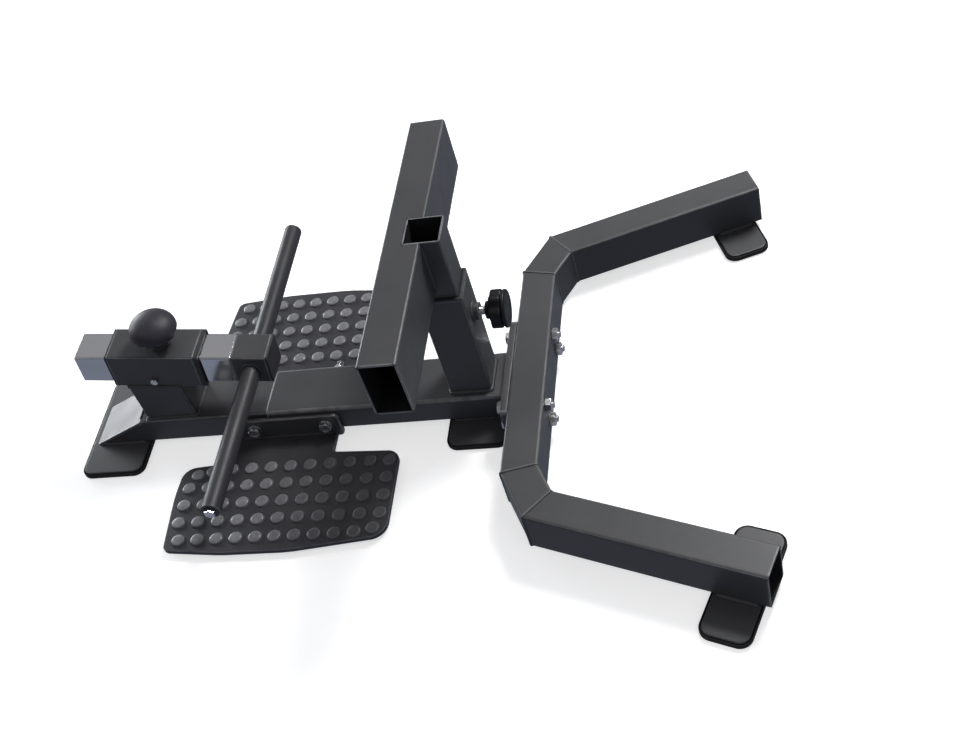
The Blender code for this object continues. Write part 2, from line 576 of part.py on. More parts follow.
# ---------------------------------------------------------------- rear post and calf support
rear_post_low = saddle_top + GAP
post = tube_mesh("rear_post", POST_SIDE, POST_SIDE, POST_WALL, 0.004, POST_TOP - rear_post_low)
rear_post = piece("rear_post", post, POWDER, ALONG_Z(POST_X, 0, (POST_TOP + rear_post_low) / 2))
boolean(rear_post, helper("rear_stud_hole", rod_mesh("rear_stud_hole", STUD_BORE, 0.020, 0.045), REAR_CLAMP))
liner("post_liner", ALONG_Z(POST_X, 0, POST_TOP + GAP), POST_SIDE, LINER_IN, POST_LINER_RIM, LINER_DEPTH, LINER_BORE)

height = tube_mesh("height_tube", HEIGHT_SIDE, HEIGHT_SIDE, HEIGHT_WALL, 0.003, HEIGHT_TOP - HEIGHT_BOTTOM)
piece("height_tube", height, POWDER, ALONG_Z(POST_X, 0, (HEIGHT_TOP + HEIGHT_BOTTOM) / 2))

calf = tube_mesh("calf_crossbar", CALF_H, CALF_W, CALF_WALL, 0.0035, 2 * CALF_HALF)
calf_crossbar = piece("calf_crossbar", calf, POWDER, ALONG_Y(CALF_X, 0, HEIGHT_TOP - CALF_H / 2))
notch = POST_X - HEIGHT_SIDE / 2 - GAP
boolean(calf_crossbar, helper(
    "calf_notch", box_mesh("calf_notch", (notch, -HEIGHT_SIDE / 2 - GAP, HEIGHT_TOP - CALF_H - 0.01),
                           (CALF_X + CALF_W, HEIGHT_SIDE / 2 + GAP, HEIGHT_TOP + 0.01))))

# ---------------------------------------------------------------- end plate and rear frame
REAR_MID = FLOOR_Z + REAR_H / 2
end_mesh = extruded("beam_end_plate", [rounded_rect(2 * END_PLATE_HALF, REAR_H, 0.004, 3)], END_PLATE_T)
end_plate = piece("beam_end_plate", end_mesh, POWDER, ALONG_X(END_PLATE_X0 + END_PLATE_T / 2, 0, REAR_MID))

B, C, E = (Vector((*p, 0)) for p in (REAR_B, REAR_C, REAR_E))


def rear_tube(name, start, end, mitre0, mitre1):
    """Tube of the rear frame from start to end, on its centre line, with mitre angles at both ends.
    A positive mitre lengthens the side to the left of the direction of travel."""
    along = (end - start).normalized()
    left = Vector((0, 0, 1)).cross(along)
    mesh = tube_mesh(name, REAR_W, REAR_H, REAR_WALL, REAR_R, (end - start).length)
    shear_end(mesh, 1, slope_x=math.tan(mitre1))
    shear_end(mesh, -1, slope_x=-math.tan(mitre0))
    middle = (start + end) / 2 + Vector((0, 0, REAR_MID))
    return piece(name, mesh, POWDER, axis_place(middle, along, left))


def angle_of(v):
    return math.atan2(v.y, v.x)


half_bc = (math.radians(90) - angle_of(C - B)) / 2            # turns away from the spine's plane by half
half_ce = (angle_of(C - B) - angle_of(E - C)) / 2
g = GAP / 2
for side, sign in (("left", 1), ("right", -1)):
    b, c, e = (Vector((p.x, sign * p.y, 0)) for p in (B, C, E))
    bc, ce = (c - b).normalized(), (e - c).normalized()
    rear_tube("rear_corner_" + side, b + bc * g, c - bc * g, sign * half_bc, sign * half_ce)
    rear_tube("rear_arm_" + side, c + ce * g, e, sign * half_ce, 0.0)
crossbar = rear_tube("rear_crossbar", Vector((B.x, -B.y + g, 0)), Vector((B.x, B.y - g, 0)), half_bc, half_bc)

number = 0
for y in JOINT_BOLT_Y:
    for z in JOINT_BOLT_Z:
        number += 1
        label = str(number)
        hole = helper("joint_hole_" + label, rod_mesh("joint_hole_" + label, BOLT_HOLE, -0.02, 0.10, 16),
                      ALONG_X(END_PLATE_X0, y, z))
        boolean(end_plate, hole)
        boolean(crossbar, hole)
        rear_face = REAR_X + REAR_W / 2 + GAP
        bolt("joint_bolt_" + label, axis_place((END_PLATE_X0 - GAP, y, z), (-1, 0, 0), (0, 1, 0)),
             rear_face - END_PLATE_X0 + NUT_H + 0.004)
        nut("joint_nut_" + label, axis_place((rear_face, y, z), (1, 0, 0), (0, 1, 0)))

for cutter in CUTTERS.objects:
    cutter.hide_render = True
    cutter.display_type = "WIRE"

# the origin goes to the floor below the middle of the machine
for made in list(PART.objects) + list(CUTTERS.objects):
    made.matrix_world = Matrix.Translation((-CENTRE_X, 0, 0)) @ made.matrix_world
bpy.context.view_layer.update()
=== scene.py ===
"""Sissy squat machine: the finished look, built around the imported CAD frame.

Metres, +Z up, floor at Z = 0. The front (toes) is at -X, the rear arms at +X, and Y = 0 is the
plane of the spine. Each visible piece rides on the CAD body that it belongs to.
"""

import math
import random

import bmesh
import bpy
from mathutils import Matrix, Vector, noise as field


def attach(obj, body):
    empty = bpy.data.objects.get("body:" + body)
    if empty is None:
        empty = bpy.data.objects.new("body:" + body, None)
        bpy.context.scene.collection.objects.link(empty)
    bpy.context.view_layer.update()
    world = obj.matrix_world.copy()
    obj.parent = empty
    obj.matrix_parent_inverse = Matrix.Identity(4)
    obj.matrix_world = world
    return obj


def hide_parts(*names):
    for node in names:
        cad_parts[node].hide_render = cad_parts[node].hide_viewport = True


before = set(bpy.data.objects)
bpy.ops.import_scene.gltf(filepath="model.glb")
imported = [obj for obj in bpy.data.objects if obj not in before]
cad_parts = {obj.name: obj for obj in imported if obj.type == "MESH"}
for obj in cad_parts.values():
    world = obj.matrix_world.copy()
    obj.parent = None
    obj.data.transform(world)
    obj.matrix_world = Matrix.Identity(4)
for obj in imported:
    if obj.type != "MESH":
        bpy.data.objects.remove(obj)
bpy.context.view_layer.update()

# ================================================================= camera
AZIMUTH, ELEVATION, ROLL = math.radians(19.99), math.radians(45.71), math.radians(19.07)
look = Vector((-math.sin(AZIMUTH) * math.cos(ELEVATION), math.cos(AZIMUTH) * math.cos(ELEVATION), -math.sin(ELEVATION)))
level = look.cross(Vector((0, 0, 1))).normalized()
down = look.cross(level)
right = math.cos(ROLL) * level + math.sin(ROLL) * down
up = math.sin(ROLL) * level - math.cos(ROLL) * down
camera_data = bpy.data.cameras.new("camera")
camera_data.sensor_fit = "HORIZONTAL"
camera_data.sensor_width = 36
camera_data.lens = 48.354
camera_data.shift_x, camera_data.shift_y = -0.00163, -0.00038
camera_data.clip_start, camera_data.clip_end = 0.05, 200
camera = bpy.data.objects.new("camera", camera_data)
camera.matrix_world = Matrix.Translation((0.5426, -1.19607, 1.35729)) @ Matrix((right, up, -look)).transposed().to_4x4()
bpy.context.scene.collection.objects.link(camera)
bpy.context.scene.camera = camera
bpy.context.scene.view_settings.view_transform = "Standard"


# ================================================================= materials
class Finish:
    """A procedural material in object coordinates, in metres."""

    def __init__(self, name, metallic, level=0.5):
        self.material = bpy.data.materials.new(name)
        self.material.use_nodes = True
        self.tree = self.material.node_tree
        self.shader = self.tree.nodes["Principled BSDF"]
        self.shader.inputs["Metallic"].default_value = metallic
        self.shader.inputs["Specular IOR Level"].default_value = level
        self.place = self.node("ShaderNodeTexCoord").outputs["Object"]

    def node(self, kind, **settings):
        made = self.tree.nodes.new(kind)
        for key, value in settings.items():
            setattr(made, key, value)
        return made

    def put(self, socket, value):
        if isinstance(value, bpy.types.NodeSocket):
            self.tree.links.new(value, socket)
        else:
            socket.default_value = value

    def noise(self, scale, detail=2.0, stretch=(1, 1, 1), shift=0.0, distortion=0.0):
        mapping = self.node("ShaderNodeMapping")
        mapping.inputs["Scale"].default_value = stretch
        mapping.inputs["Location"].default_value = (shift, shift * 0.7, shift * 1.3)
        self.put(mapping.inputs["Vector"], self.place)
        made = self.node("ShaderNodeTexNoise")
        self.put(made.inputs["Vector"], mapping.outputs["Vector"])
        made.inputs["Scale"].default_value = scale
        made.inputs["Detail"].default_value = detail
        made.inputs["Distortion"].default_value = distortion
        return made.outputs["Fac"]

    def span(self, value, low, high, out_low=0.0, out_high=1.0, smooth=False):
        made = self.node("ShaderNodeMapRange", clamp=True)
        if smooth:
            made.interpolation_type = "SMOOTHSTEP"
        self.put(made.inputs["Value"], value)
        for key, number in (("From Min", low), ("From Max", high), ("To Min", out_low), ("To Max", out_high)):
            made.inputs[key].default_value = number
        return made.outputs["Result"]

    def math(self, kind, a, b):
        made = self.node("ShaderNodeMath", operation=kind)
        self.put(made.inputs[0], a)
        self.put(made.inputs[1], b)
        return made.outputs[0]

    def mix(self, factor, a, b):
        made = self.node("ShaderNodeMix", data_type="RGBA")
        self.put(made.inputs[0], factor)
        for socket, value in ((made.inputs[6], a), (made.inputs[7], b)):
            self.put(socket, value if isinstance(value, bpy.types.NodeSocket) else (*value, 1.0))
        return made.outputs[2]

    def attribute(self, name):
        return self.node("ShaderNodeAttribute", attribute_name=name).outputs["Fac"]

    def facing_up(self, low, high):
        split = self.node("ShaderNodeSeparateXYZ")
        self.put(split.inputs[0], self.node("ShaderNodeNewGeometry").outputs["Normal"])
        return self.span(split.outputs["Z"], low, high, smooth=True)

    def bump(self, height, strength, distance, normal=None):
        made = self.node("ShaderNodeBump")
        made.inputs["Strength"].default_value = strength
        made.inputs["Distance"].default_value = distance
        self.put(made.inputs["Height"], height)
        if normal is not None:
            self.put(made.inputs["Normal"], normal)
        return made.outputs["Normal"]

    def colour(self, value):
        self.put(self.shader.inputs["Base Color"], value)

    def roughness(self, value):
        self.put(self.shader.inputs["Roughness"], value)

    def normal(self, value):
        self.put(self.shader.inputs["Normal"], value)


def tint(colour, factor):
    return tuple(min(1.0, c * factor) for c in colour)


def powder_coat(name, base, rough, level, wear_and_painted_light, peel, dust=0.06):
    """Baked powder paint: a fine orange peel, faint clouding, edges lighter for thin paint plus a painted highlight
    line, a little dust on top, stud tops lighter for scuffing plus a painted highlight and dimmed by painted shade, and
    painted shade on the inner walls.
    """
    f = Finish(name, 0.0, level)
    cloud = f.span(f.noise(5.5, 3.0), 0.35, 0.65)
    grain = f.span(f.noise(240.0, 2.0, shift=3.1), 0.3, 0.7)
    body = f.mix(cloud, tint(base, 0.955), tint(base, 1.045))
    body = f.mix(f.math("MULTIPLY", grain, 0.22), body, tint(base, 0.82))
    # edges lighter: thin paint plus a painted highlight line along the crest of each rounded edge
    edge_wear_and_highlight = f.math("MULTIPLY", f.attribute("edge"), f.span(f.noise(48.0, 4.0, shift=7.7), 0.38, 0.62, 0.50, 1.0))
    body = f.mix(f.math("MULTIPLY", edge_wear_and_highlight, wear_and_painted_light), body, (0.30, 0.30, 0.305))
    lying = f.math("MULTIPLY", f.facing_up(0.55, 0.98), f.span(f.noise(9.0, 5.0, shift=12.0), 0.40, 0.72))
    lying = f.math("MULTIPLY", lying, dust)
    body = f.mix(lying, body, (0.24, 0.235, 0.225))
    # stud tops lighter: scuffed paint plus a painted highlight, dimmed on one plate by painted shade
    stud_scuff_and_painted_light = f.math("MULTIPLY", f.attribute("stud"), f.span(f.noise(130.0, 3.0, shift=17.0), 0.35, 0.6, 0.70, 1.0))
    body = f.mix(f.math("MULTIPLY", stud_scuff_and_painted_light, 0.85), body, (0.25, 0.25, 0.262))
    # inner walls darker: painted shade inside the tubes
    inner_wall_shade = f.attribute("inside")
    body = f.mix(inner_wall_shade, body, tint(base, 0.35))
    f.colour(body)
    gloss = f.span(f.noise(34.0, 3.0, shift=5.0), 0.3, 0.7, rough - 0.03, rough + 0.04)
    gloss = f.math("ADD", gloss, f.math("MULTIPLY", lying, 0.8))
    gloss = f.math("SUBTRACT", gloss, f.math("MULTIPLY", stud_scuff_and_painted_light, 0.12))
    f.roughness(f.math("SUBTRACT", gloss, f.math("MULTIPLY", edge_wear_and_highlight, 0.08)))
    f.put(f.shader.inputs["Specular IOR Level"], f.span(inner_wall_shade, 0.0, 1.0, level, 0.2))
    fine = f.bump(f.noise(1900.0, 1.0, shift=2.0), 0.05, 0.0002)
    f.normal(f.bump(f.noise(620.0, 2.0, shift=1.0), peel, 0.0004, fine))
    return f.material


def chrome_plate(name):
    """Bright chrome: a smooth polish with faint smears and a few pits."""
    f = Finish(name, 1.0)
    smear = f.span(f.noise(14.0, 4.0, stretch=(1, 1, 0.35)), 0.35, 0.70)
    pits = f.span(f.noise(420.0, 2.0, shift=8.0), 0.68, 0.76)
    body = f.mix(smear, (0.73, 0.73, 0.745), (0.67, 0.67, 0.685))
    body = f.mix(f.math("MULTIPLY", pits, 0.30), body, (0.25, 0.25, 0.26))
    # edges lighter: a painted highlight line along the edge crests
    body = f.mix(f.math("MULTIPLY", f.attribute("edge"), 0.40), body, (0.80, 0.80, 0.81))
    # inner walls near black: painted shade
    f.colour(f.mix(f.attribute("inside"), body, (0.03, 0.03, 0.033)))
    f.roughness(f.span(smear, 0.0, 1.0, 0.10, 0.17))
    f.normal(f.bump(f.noise(60.0, 1.0, shift=6.0), 0.05, 0.0006))
    return f.material


def zinc_steel(name):
    """Zinc-plated fastener: bright, slightly mottled, and lighter on its edges for scuffing plus a painted highlight.
    """
    f = Finish(name, 1.0)
    mottle = f.span(f.noise(300.0, 3.0), 0.35, 0.65)
    body = f.mix(mottle, (0.84, 0.845, 0.84), (0.70, 0.705, 0.71))
    # edges lighter: scuffed plating plus a painted highlight
    f.colour(f.mix(f.math("MULTIPLY", f.attribute("edge"), 0.6), body, (0.92, 0.92, 0.91)))
    f.roughness(f.span(f.noise(160.0, 3.0, shift=2.0), 0.3, 0.7, 0.18, 0.32))
    f.normal(f.bump(f.noise(1400.0, 2.0), 0.12, 0.0001))
    return f.material


def moulded(name, base, rough, grain_scale, grain, edge_tone, level=0.5, dust=0.05):
    """Moulded plastic or rubber with a fine mould grain, edges lighter for scuffing plus a painted highlight, and some
    dust.
    """
    f = Finish(name, 0.0, level)
    cloud = f.span(f.noise(22.0, 4.0), 0.35, 0.65)
    body = f.mix(cloud, tint(base, 0.88), tint(base, 1.12))
    # edges lighter: scuffing plus a painted highlight
    body = f.mix(f.math("MULTIPLY", f.attribute("edge"), 0.55), body, edge_tone)
    lying = f.math("MULTIPLY", f.facing_up(0.4, 0.95), f.span(f.noise(40.0, 4.0, shift=9.0), 0.42, 0.70))
    lying = f.math("MULTIPLY", lying, dust)
    f.colour(f.mix(lying, body, (0.26, 0.255, 0.245)))
    f.roughness(f.math("ADD", f.span(f.noise(55.0, 3.0, shift=3.0), 0.3, 0.7, rough - 0.06, rough + 0.06), lying))
    f.normal(f.bump(f.noise(grain_scale, 2.0), grain, 0.00025))
    return f.material


CHARCOAL = (0.060, 0.0605, 0.064)
PAINT = powder_coat("charcoal_powder_coat", CHARCOAL, 0.40, 0.42, 0.70, 0.10)
PLATE_PAINT = powder_coat("plate_powder_coat", (0.036, 0.0358, 0.041), 0.44, 0.40, 0.40, 0.14, dust=0.10)
# a darker copy of the frame paint for the roller bar: painted shade
BAR_PAINT_SHADED = powder_coat("roller_bar_powder_coat_shaded", (0.036, 0.036, 0.040), 0.46, 0.36, 0.50, 0.10)
CHROME = chrome_plate("satin_chrome")
ZINC = zinc_steel("zinc_plated_steel")
KNOB = moulded("knob_plastic", (0.034, 0.031, 0.042), 0.50, 900.0, 0.10, (0.060, 0.056, 0.072), level=0.42, dust=0.06)
KNOB_BLACK = moulded("knob_plastic_black", (0.006, 0.006, 0.0075), 0.42, 900.0, 0.10, (0.014, 0.014, 0.017), level=0.30, dust=0.02)
LINER = moulded("liner_plastic", (0.020, 0.020, 0.023), 0.52, 1100.0, 0.10, (0.045, 0.045, 0.05))
RUBBER = moulded("boot_rubber", (0.022, 0.021, 0.020), 0.72, 700.0, 0.20, (0.040, 0.037, 0.034), level=0.28, dust=0.06)

# ================================================================= floor and light
shape = bmesh.new()
rings = [[shape.verts.new((r * math.cos(a * math.pi / 24), r * math.sin(a * math.pi / 24), 0.0)) for a in range(48)]
         for r in (0.6, 1.6, 4.0, 12.0, 60.0)]
shape.faces.new(rings[0])
for inner, outer in zip(rings, rings[1:]):
    for i in range(48):
        shape.faces.new((inner[i], outer[i], outer[(i + 1) % 48], inner[(i + 1) % 48]))
floor_mesh = bpy.data.meshes.new("studio_floor")
shape.to_mesh(floor_mesh)
shape.free()
floor = bpy.data.objects.new("studio_floor", floor_mesh)
floor.location.z = -0.0004
bpy.context.scene.collection.objects.link(floor)
pale = Finish("pale_floor", 0.0, 0.0)
pale.colour(pale.mix(pale.span(pale.noise(3.0, 2.0), 0.3, 0.7), (0.80, 0.80, 0.80), (0.82, 0.82, 0.82)))
pale.roughness(0.9)
pale.shader.inputs["Emission Color"].default_value = (1.0, 1.0, 1.0, 1.0)
pale.shader.inputs["Emission Strength"].default_value = 0.62
floor_mesh.materials.append(pale.material)
floor.visible_diffuse = False
floor.visible_glossy = False

shape = bmesh.new()
low, high = ([shape.verts.new((58 * math.cos(a * math.pi / 24), 58 * math.sin(a * math.pi / 24), z)) for a in range(48)]
             for z in (-0.0004, 58.0))
for i in range(48):
    shape.faces.new((low[i], high[i], high[(i + 1) % 48], low[(i + 1) % 48]))
backdrop_mesh = bpy.data.meshes.new("studio_backdrop")
shape.to_mesh(backdrop_mesh)
shape.free()
backdrop = bpy.data.objects.new("studio_backdrop", backdrop_mesh)
bpy.context.scene.collection.objects.link(backdrop)
paper = Finish("pale_backdrop", 0.0, 0.0)
paper.colour((0.0, 0.0, 0.0, 1.0))
paper.roughness(1.0)
paper.shader.inputs["Emission Color"].default_value = (1.0, 1.0, 1.0, 1.0)
paper.shader.inputs["Emission Strength"].default_value = 0.79
backdrop_mesh.materials.append(paper.material)
backdrop.visible_diffuse = False
backdrop.visible_glossy = False
backdrop.visible_shadow = False

world = bpy.data.worlds.new("studio")
world.use_nodes = True
bpy.context.scene.world = world
tree = world.node_tree
coord = tree.nodes.new("ShaderNodeTexCoord")
split = tree.nodes.new("ShaderNodeSeparateXYZ")
ramp = tree.nodes.new("ShaderNodeValToRGB")
span = tree.nodes.new("ShaderNodeMapRange")
span.inputs["From Min"].default_value = -1.0
tree.links.new(coord.outputs["Generated"], split.inputs[0])
tree.links.new(split.outputs["Z"], span.inputs["Value"])
tree.links.new(span.outputs["Result"], ramp.inputs["Fac"])
ramp.color_ramp.elements[0].position = 0.30
ramp.color_ramp.elements[0].color = (0.218, 0.241, 0.308, 1)
ramp.color_ramp.elements[1].position = 1.0
ramp.color_ramp.elements[1].color = (0.22, 0.22, 0.23, 1)
middle = ramp.color_ramp.elements.new(0.52)
middle.color = (0.13, 0.136, 0.158, 1)
tree.links.new(ramp.outputs["Color"], tree.nodes["Background"].inputs["Color"])
tree.nodes["Background"].inputs["Strength"].default_value = 1.0


def softbox(name, place, target, width, height, radiance, colour=(1, 1, 1)):
    """Rectangular light whose face has the given radiance."""
    data = bpy.data.lights.new(name, "AREA")
    data.shape = "RECTANGLE"
    data.size, data.size_y = width, height
    data.energy = radiance * math.pi * width * height
    data.color = colour
    made = bpy.data.objects.new(name, data)
    made.matrix_world = Matrix.Translation(place) @ (Vector(target) - Vector(place)).to_track_quat("-Z", "Y").to_matrix().to_4x4()
    bpy.context.scene.collection.objects.link(made)
    made.visible_camera = False
    return made


softbox("key", (0.98, 1.14, 1.92), (0, 0, 0.1), 0.64, 0.64, 33.0)
softbox("overhead", (0.45, 1.05, 2.6), (0, 0, 0.1), 2.2, 1.6, 0.3)
softbox("far_left_window", (-2.3, 1.40, 0.50), (-0.35, 0, 0.1), 1.6, 0.9, 12.0, (0.93, 0.965, 1.0))
softbox("far_sheen", (-0.64, 1.98, 2.16), (0, 0, 0.1), 2.6, 1.6, 0.16)
softbox("front_left_fill", (-1.8, -0.9, 1.9), (-0.1, -0.1, 0.1), 1.4, 1.0, 0.8)
softbox("near_arm_fill", (0.80, -0.90, 0.55), (0.45, -0.33, 0.03), 0.40, 0.40, 1.4)

LOOKS = {
    "frame_paint": PAINT, "plate_paint": PLATE_PAINT, "pad_rubber": RUBBER, "chrome_plate": CHROME,
    "zinc_steel": ZINC, "knob_plastic": KNOB, "liner_plastic": LINER,
}

# ================================================================= dimensions, as in the CAD
SHIFT = Matrix.Translation((0.0024, 0.0, 0.0))       # from the numbers below to the frame's X
GAP = 0.0003
PAD_H, PAD_LIP = 0.0047, 0.0075
FOOT_T, FOOT_Z = 0.004, 0.005
FLOOR_Z = FOOT_Z + FOOT_T + GAP
SPINE_W, SPINE_H, SPINE_WALL, SPINE_R = 0.076, 0.044, 0.003, 0.0035
SPINE_REAR = 0.1454
WEDGE_TOP, WEDGE_BOTTOM, WEDGE_T = -0.417, -0.508, 0.004
SADDLE_T, SADDLE_FRONT, SADDLE_LOW = 0.004, -0.211, 0.0165
FRONT_FOOT_X, FRONT_FOOT_L, FRONT_FOOT_W = -0.467, 0.096, 0.188
REAR_FOOT_X, REAR_FOOT_L, REAR_FOOT_W = 0.099, 0.085, 0.170
ARM_FOOT_L, ARM_FOOT_W, FOOT_R = 0.061, 0.162, 0.014
ARM_FOOT_BACK = 0.012
FRONT_POST_X, FRONT_POST_L, FRONT_POST_W, FRONT_POST_WALL = -0.364, 0.080, 0.064, 0.003
SLIDER_TILT = math.radians(7.0)
SLIDER_X, SLIDER_Z = -0.4088, 0.1565
SLEEVE_SIDE, SLEEVE_WALL = 0.060, 0.003
SLEEVE_U0, SLEEVE_U1 = -0.007, 0.1225
LINER_RIM_FRONT, LINER_RIM_REAR, LINER_DEPTH = 0.0025, 0.007, 0.028
SLIDE_SIDE, SLIDE_WALL = 0.050, 0.0025
SLIDE_U0, SLIDE_U1 = -0.0575, 0.1750
BLOCK_U1 = 0.2265
BAR_U, BAR_R, BAR_BORE, BAR_HALF = 0.2025, 0.0132, 0.0107, 0.2700
FRONT_CLAMP_U = 0.066
SCREW_U, SCREW_W = 0.054, -0.016
STUD_R, STUD_BORE, BOSS_R = 0.0060, 0.0063, 0.0120
PLATE_T, PLATE_Z = 0.007, 0.005
PLATE_X0, PLATE_X1, PLATE_Y0, PLATE_Y1 = -0.346, -0.0105, 0.086, 0.2525
NECK_X0, NECK_X1 = -0.270, -0.1135
FLANGE_X0, FLANGE_X1, FLANGE_T, FLANGE_TOP = -0.270, -0.1030, 0.006, 0.0490
PLATE_BOLT_X, PLATE_BOLT_Z = (-0.235, -0.125), 0.0315
POST_X, POST_SIDE, POST_WALL, POST_TOP = 0.097, 0.060, 0.003, 0.2355
POST_LINER_RIM = 0.0025
HEIGHT_SIDE, HEIGHT_WALL, HEIGHT_TOP, HEIGHT_BOTTOM = 0.050, 0.0025, 0.3360, 0.0680
CALF_X, CALF_W, CALF_H, CALF_HALF, CALF_WALL = 0.0712, 0.050, 0.086, 0.2285, 0.003
REAR_CLAMP_Z = 0.185
END_PLATE_X0, END_PLATE_T, END_PLATE_HALF = 0.1457, 0.010, 0.087
REAR_W, REAR_H, REAR_WALL, REAR_R = 0.050, 0.064, 0.003, 0.0035
REAR_X = 0.1810
REAR_B, REAR_C, REAR_E = (0.1810, 0.1830), (0.2093, 0.2415), (0.4986, 0.3433)
JOINT_BOLT_Y, JOINT_BOLT_Z = (-0.066, 0.066), (0.0290, 0.0590)
BOLT_R, BOLT_HOLE = 0.0050, 0.0055
HEX_AF, HEX_H, NUT_H = 0.017, 0.0064, 0.0084
WASHER_R, WASHER_T = 0.0100, 0.0020
END_BOLT_R, END_BOLT_AF, END_BOLT_H = 0.0040, 0.013, 0.0053


# ================================================================= mesh helpers
def rounded(width, height, radius, steps=6, flat=0.0018):
    """Rounded rectangle, anticlockwise, with a point on each straight just before and after its corner."""
    points = []
    for cx, cy, start in (
        (width / 2 - radius, height / 2 - radius, 0),
        (-width / 2 + radius, height / 2 - radius, 90),
        (-width / 2 + radius, -height / 2 + radius, 180),
        (width / 2 - radius, -height / 2 + radius, 270),
    ):
        first, last = math.radians(start), math.radians(start + 90)
        points.append((cx + radius * math.cos(first) + flat * math.sin(first),
                       cy + radius * math.sin(first) - flat * math.cos(first)))
        for i in range(steps + 1):
            angle = first + (last - first) * i / steps
            points.append((cx + radius * math.cos(angle), cy + radius * math.sin(angle)))
        points.append((cx + radius * math.cos(last) - flat * math.sin(last),
                       cy + radius * math.sin(last) + flat * math.cos(last)))
    return points


def circle(radius, count=48):
    return [(radius * math.cos(2 * math.pi * i / count), radius * math.sin(2 * math.pi * i / count)) for i in range(count)]


def grown(outline, distance):
    """A closed anticlockwise outline moved outward by distance, with mitred corners."""
    made = []
    count = len(outline)
    for i, (x, y) in enumerate(outline):
        ax, ay = outline[i - 1]
        bx, by = outline[(i + 1) % count]
        ux, uy, vx, vy = x - ax, y - ay, bx - x, by - y
        lu, lv = math.hypot(ux, uy), math.hypot(vx, vy)
        nx, ny = uy / lu + vy / lv, -ux / lu - vx / lv
        k = distance * 2 / max(0.8, nx * nx + ny * ny)
        made.append((x + nx * k, y + ny * k))
    return made


def at(outline, z):
    return [(x, y, z) for x, y in outline]


def lip(edge, steps=3):
    """Quarter round as (inset, depth), from the cap to the wall."""
    return [(edge * (1 - math.sin(math.pi / 2 * i / steps)), edge * (1 - math.cos(math.pi / 2 * i / steps)))
            for i in range(steps + 1)]


def softened(points, radius, closed=False, steps=3):
    """A polyline with its corners rounded, and a point on the straight beside each round."""
    made = []
    count = len(points)
    for i, p in enumerate(points):
        if not closed and i in (0, count - 1):
            made.append(p)
            continue
        a, b = points[i - 1], points[(i + 1) % count]
        la, lb = math.dist(a, p), math.dist(b, p)
        d = min(radius, la * 0.42, lb * 0.42)
        s = tuple(p[k] + (a[k] - p[k]) * d / la for k in (0, 1))
        e = tuple(p[k] + (b[k] - p[k]) * d / lb for k in (0, 1))
        if la > 3.4 * d:
            made.append(tuple(p[k] + (a[k] - p[k]) * d * 1.6 / la for k in (0, 1)))
        for j in range(steps + 1):
            t = j / steps
            made.append(tuple((1 - t) ** 2 * s[k] + 2 * t * (1 - t) * p[k] + t * t * e[k] for k in (0, 1)))
        if lb > 3.4 * d:
            made.append(tuple(p[k] + (b[k] - p[k]) * d * 1.6 / lb for k in (0, 1)))
    return made


def loft(rings, loop=False):
    """Closed surface through rings of points, from cap to cap, or back to the first ring if loop."""
    shape = bmesh.new()
    rows = [[shape.verts.new(p) for p in ring] for ring in rings]
    for a, b in list(zip(rows, rows[1:])) + ([(rows[-1], rows[0])] if loop else []):
        count = max(len(a), len(b))
        for i in range(count):
            j = (i + 1) % count
            if len(a) == 1:
                shape.faces.new((a[0], b[j], b[i]))
            elif len(b) == 1:
                shape.faces.new((a[i], a[j], b[0]))
            else:
                shape.faces.new((a[i], a[j], b[j], b[i]))
    if not loop:
        for row in (rows[0], rows[-1]):
            if len(row) > 2:
                shape.faces.new(row)
    bmesh.ops.recalc_face_normals(shape, faces=shape.faces)
    return shape


def tube(width, height, wall, radius, length, edge=0.0006, steps=6):
    """Open square tube on Z, centred, with eased ends."""
    inner = max(radius - wall, 0.0012)

    def ring(grow, z, inside=False):
        w, h, r = (width - 2 * wall, height - 2 * wall, inner) if inside else (width, height, radius)
        return at(rounded(w + 2 * grow, h + 2 * grow, r + grow, steps), z)

    half = length / 2
    rings = [ring(-i, -half + d) for i, d in lip(edge)]
    rings += [ring(0, -half + edge + 0.002), ring(0, half - edge - 0.002)]
    rings += [ring(-i, half - d) for i, d in reversed(lip(edge))]
    rings += [ring(i, half - d, True) for i, d in lip(edge)]
    rings += [ring(0, half - edge - 0.002, True), ring(0, -half + edge + 0.002, True)]
    rings += [ring(i, -half + d, True) for i, d in reversed(lip(edge))]
    return loft(rings, loop=True)


def slab(outline, low, high, edge=0.0006, margin=0.002):
    """Plate of the outline's shape from low to high on Z, with eased edges."""
    rings = [at(grown(outline, -edge - margin), low)]
    rings += [at(grown(outline, -i) if i else outline, low + d) for i, d in lip(edge)]
    if high - low > 0.02:
        rings += [at(outline, low + edge + 0.002), at(outline, high - edge - 0.002)]
    rings += [at(grown(outline, -i) if i else outline, high - d) for i, d in reversed(lip(edge))]
    rings.append(at(grown(outline, -edge - margin), high))
    return loft(rings)


def bar(radius, low, high, count=32):
    return loft([at(circle(radius, count), low), at(circle(radius, count), high)])


def block(low, high):
    (x0, y0, z0), (x1, y1, z1) = low, high
    corners = [(x0, y0), (x1, y0), (x1, y1), (x0, y1)]
    return loft([at(corners, z0), at(corners, z1)])


def turned(profile, count=64, loop=False):
    """Profile of (radius, height) points turned about Z."""
    return loft([[(0.0, 0.0, z)] if r == 0 else at(circle(r, count), z) for r, z in profile], loop)


def shear_end(shape, end, slope_x=0.0, slope_y=0.0):
    """Tilts the end at local +Z (end = 1) or -Z (end = -1) into a mitre plane."""
    for vertex in shape.verts:
        if vertex.co.z * end > 0:
            vertex.co.z += slope_x * vertex.co.x + slope_y * vertex.co.y


def to_mesh(name, shape):
    mesh = bpy.data.meshes.new(name)
    shape.to_mesh(mesh)
    shape.free()
    return mesh


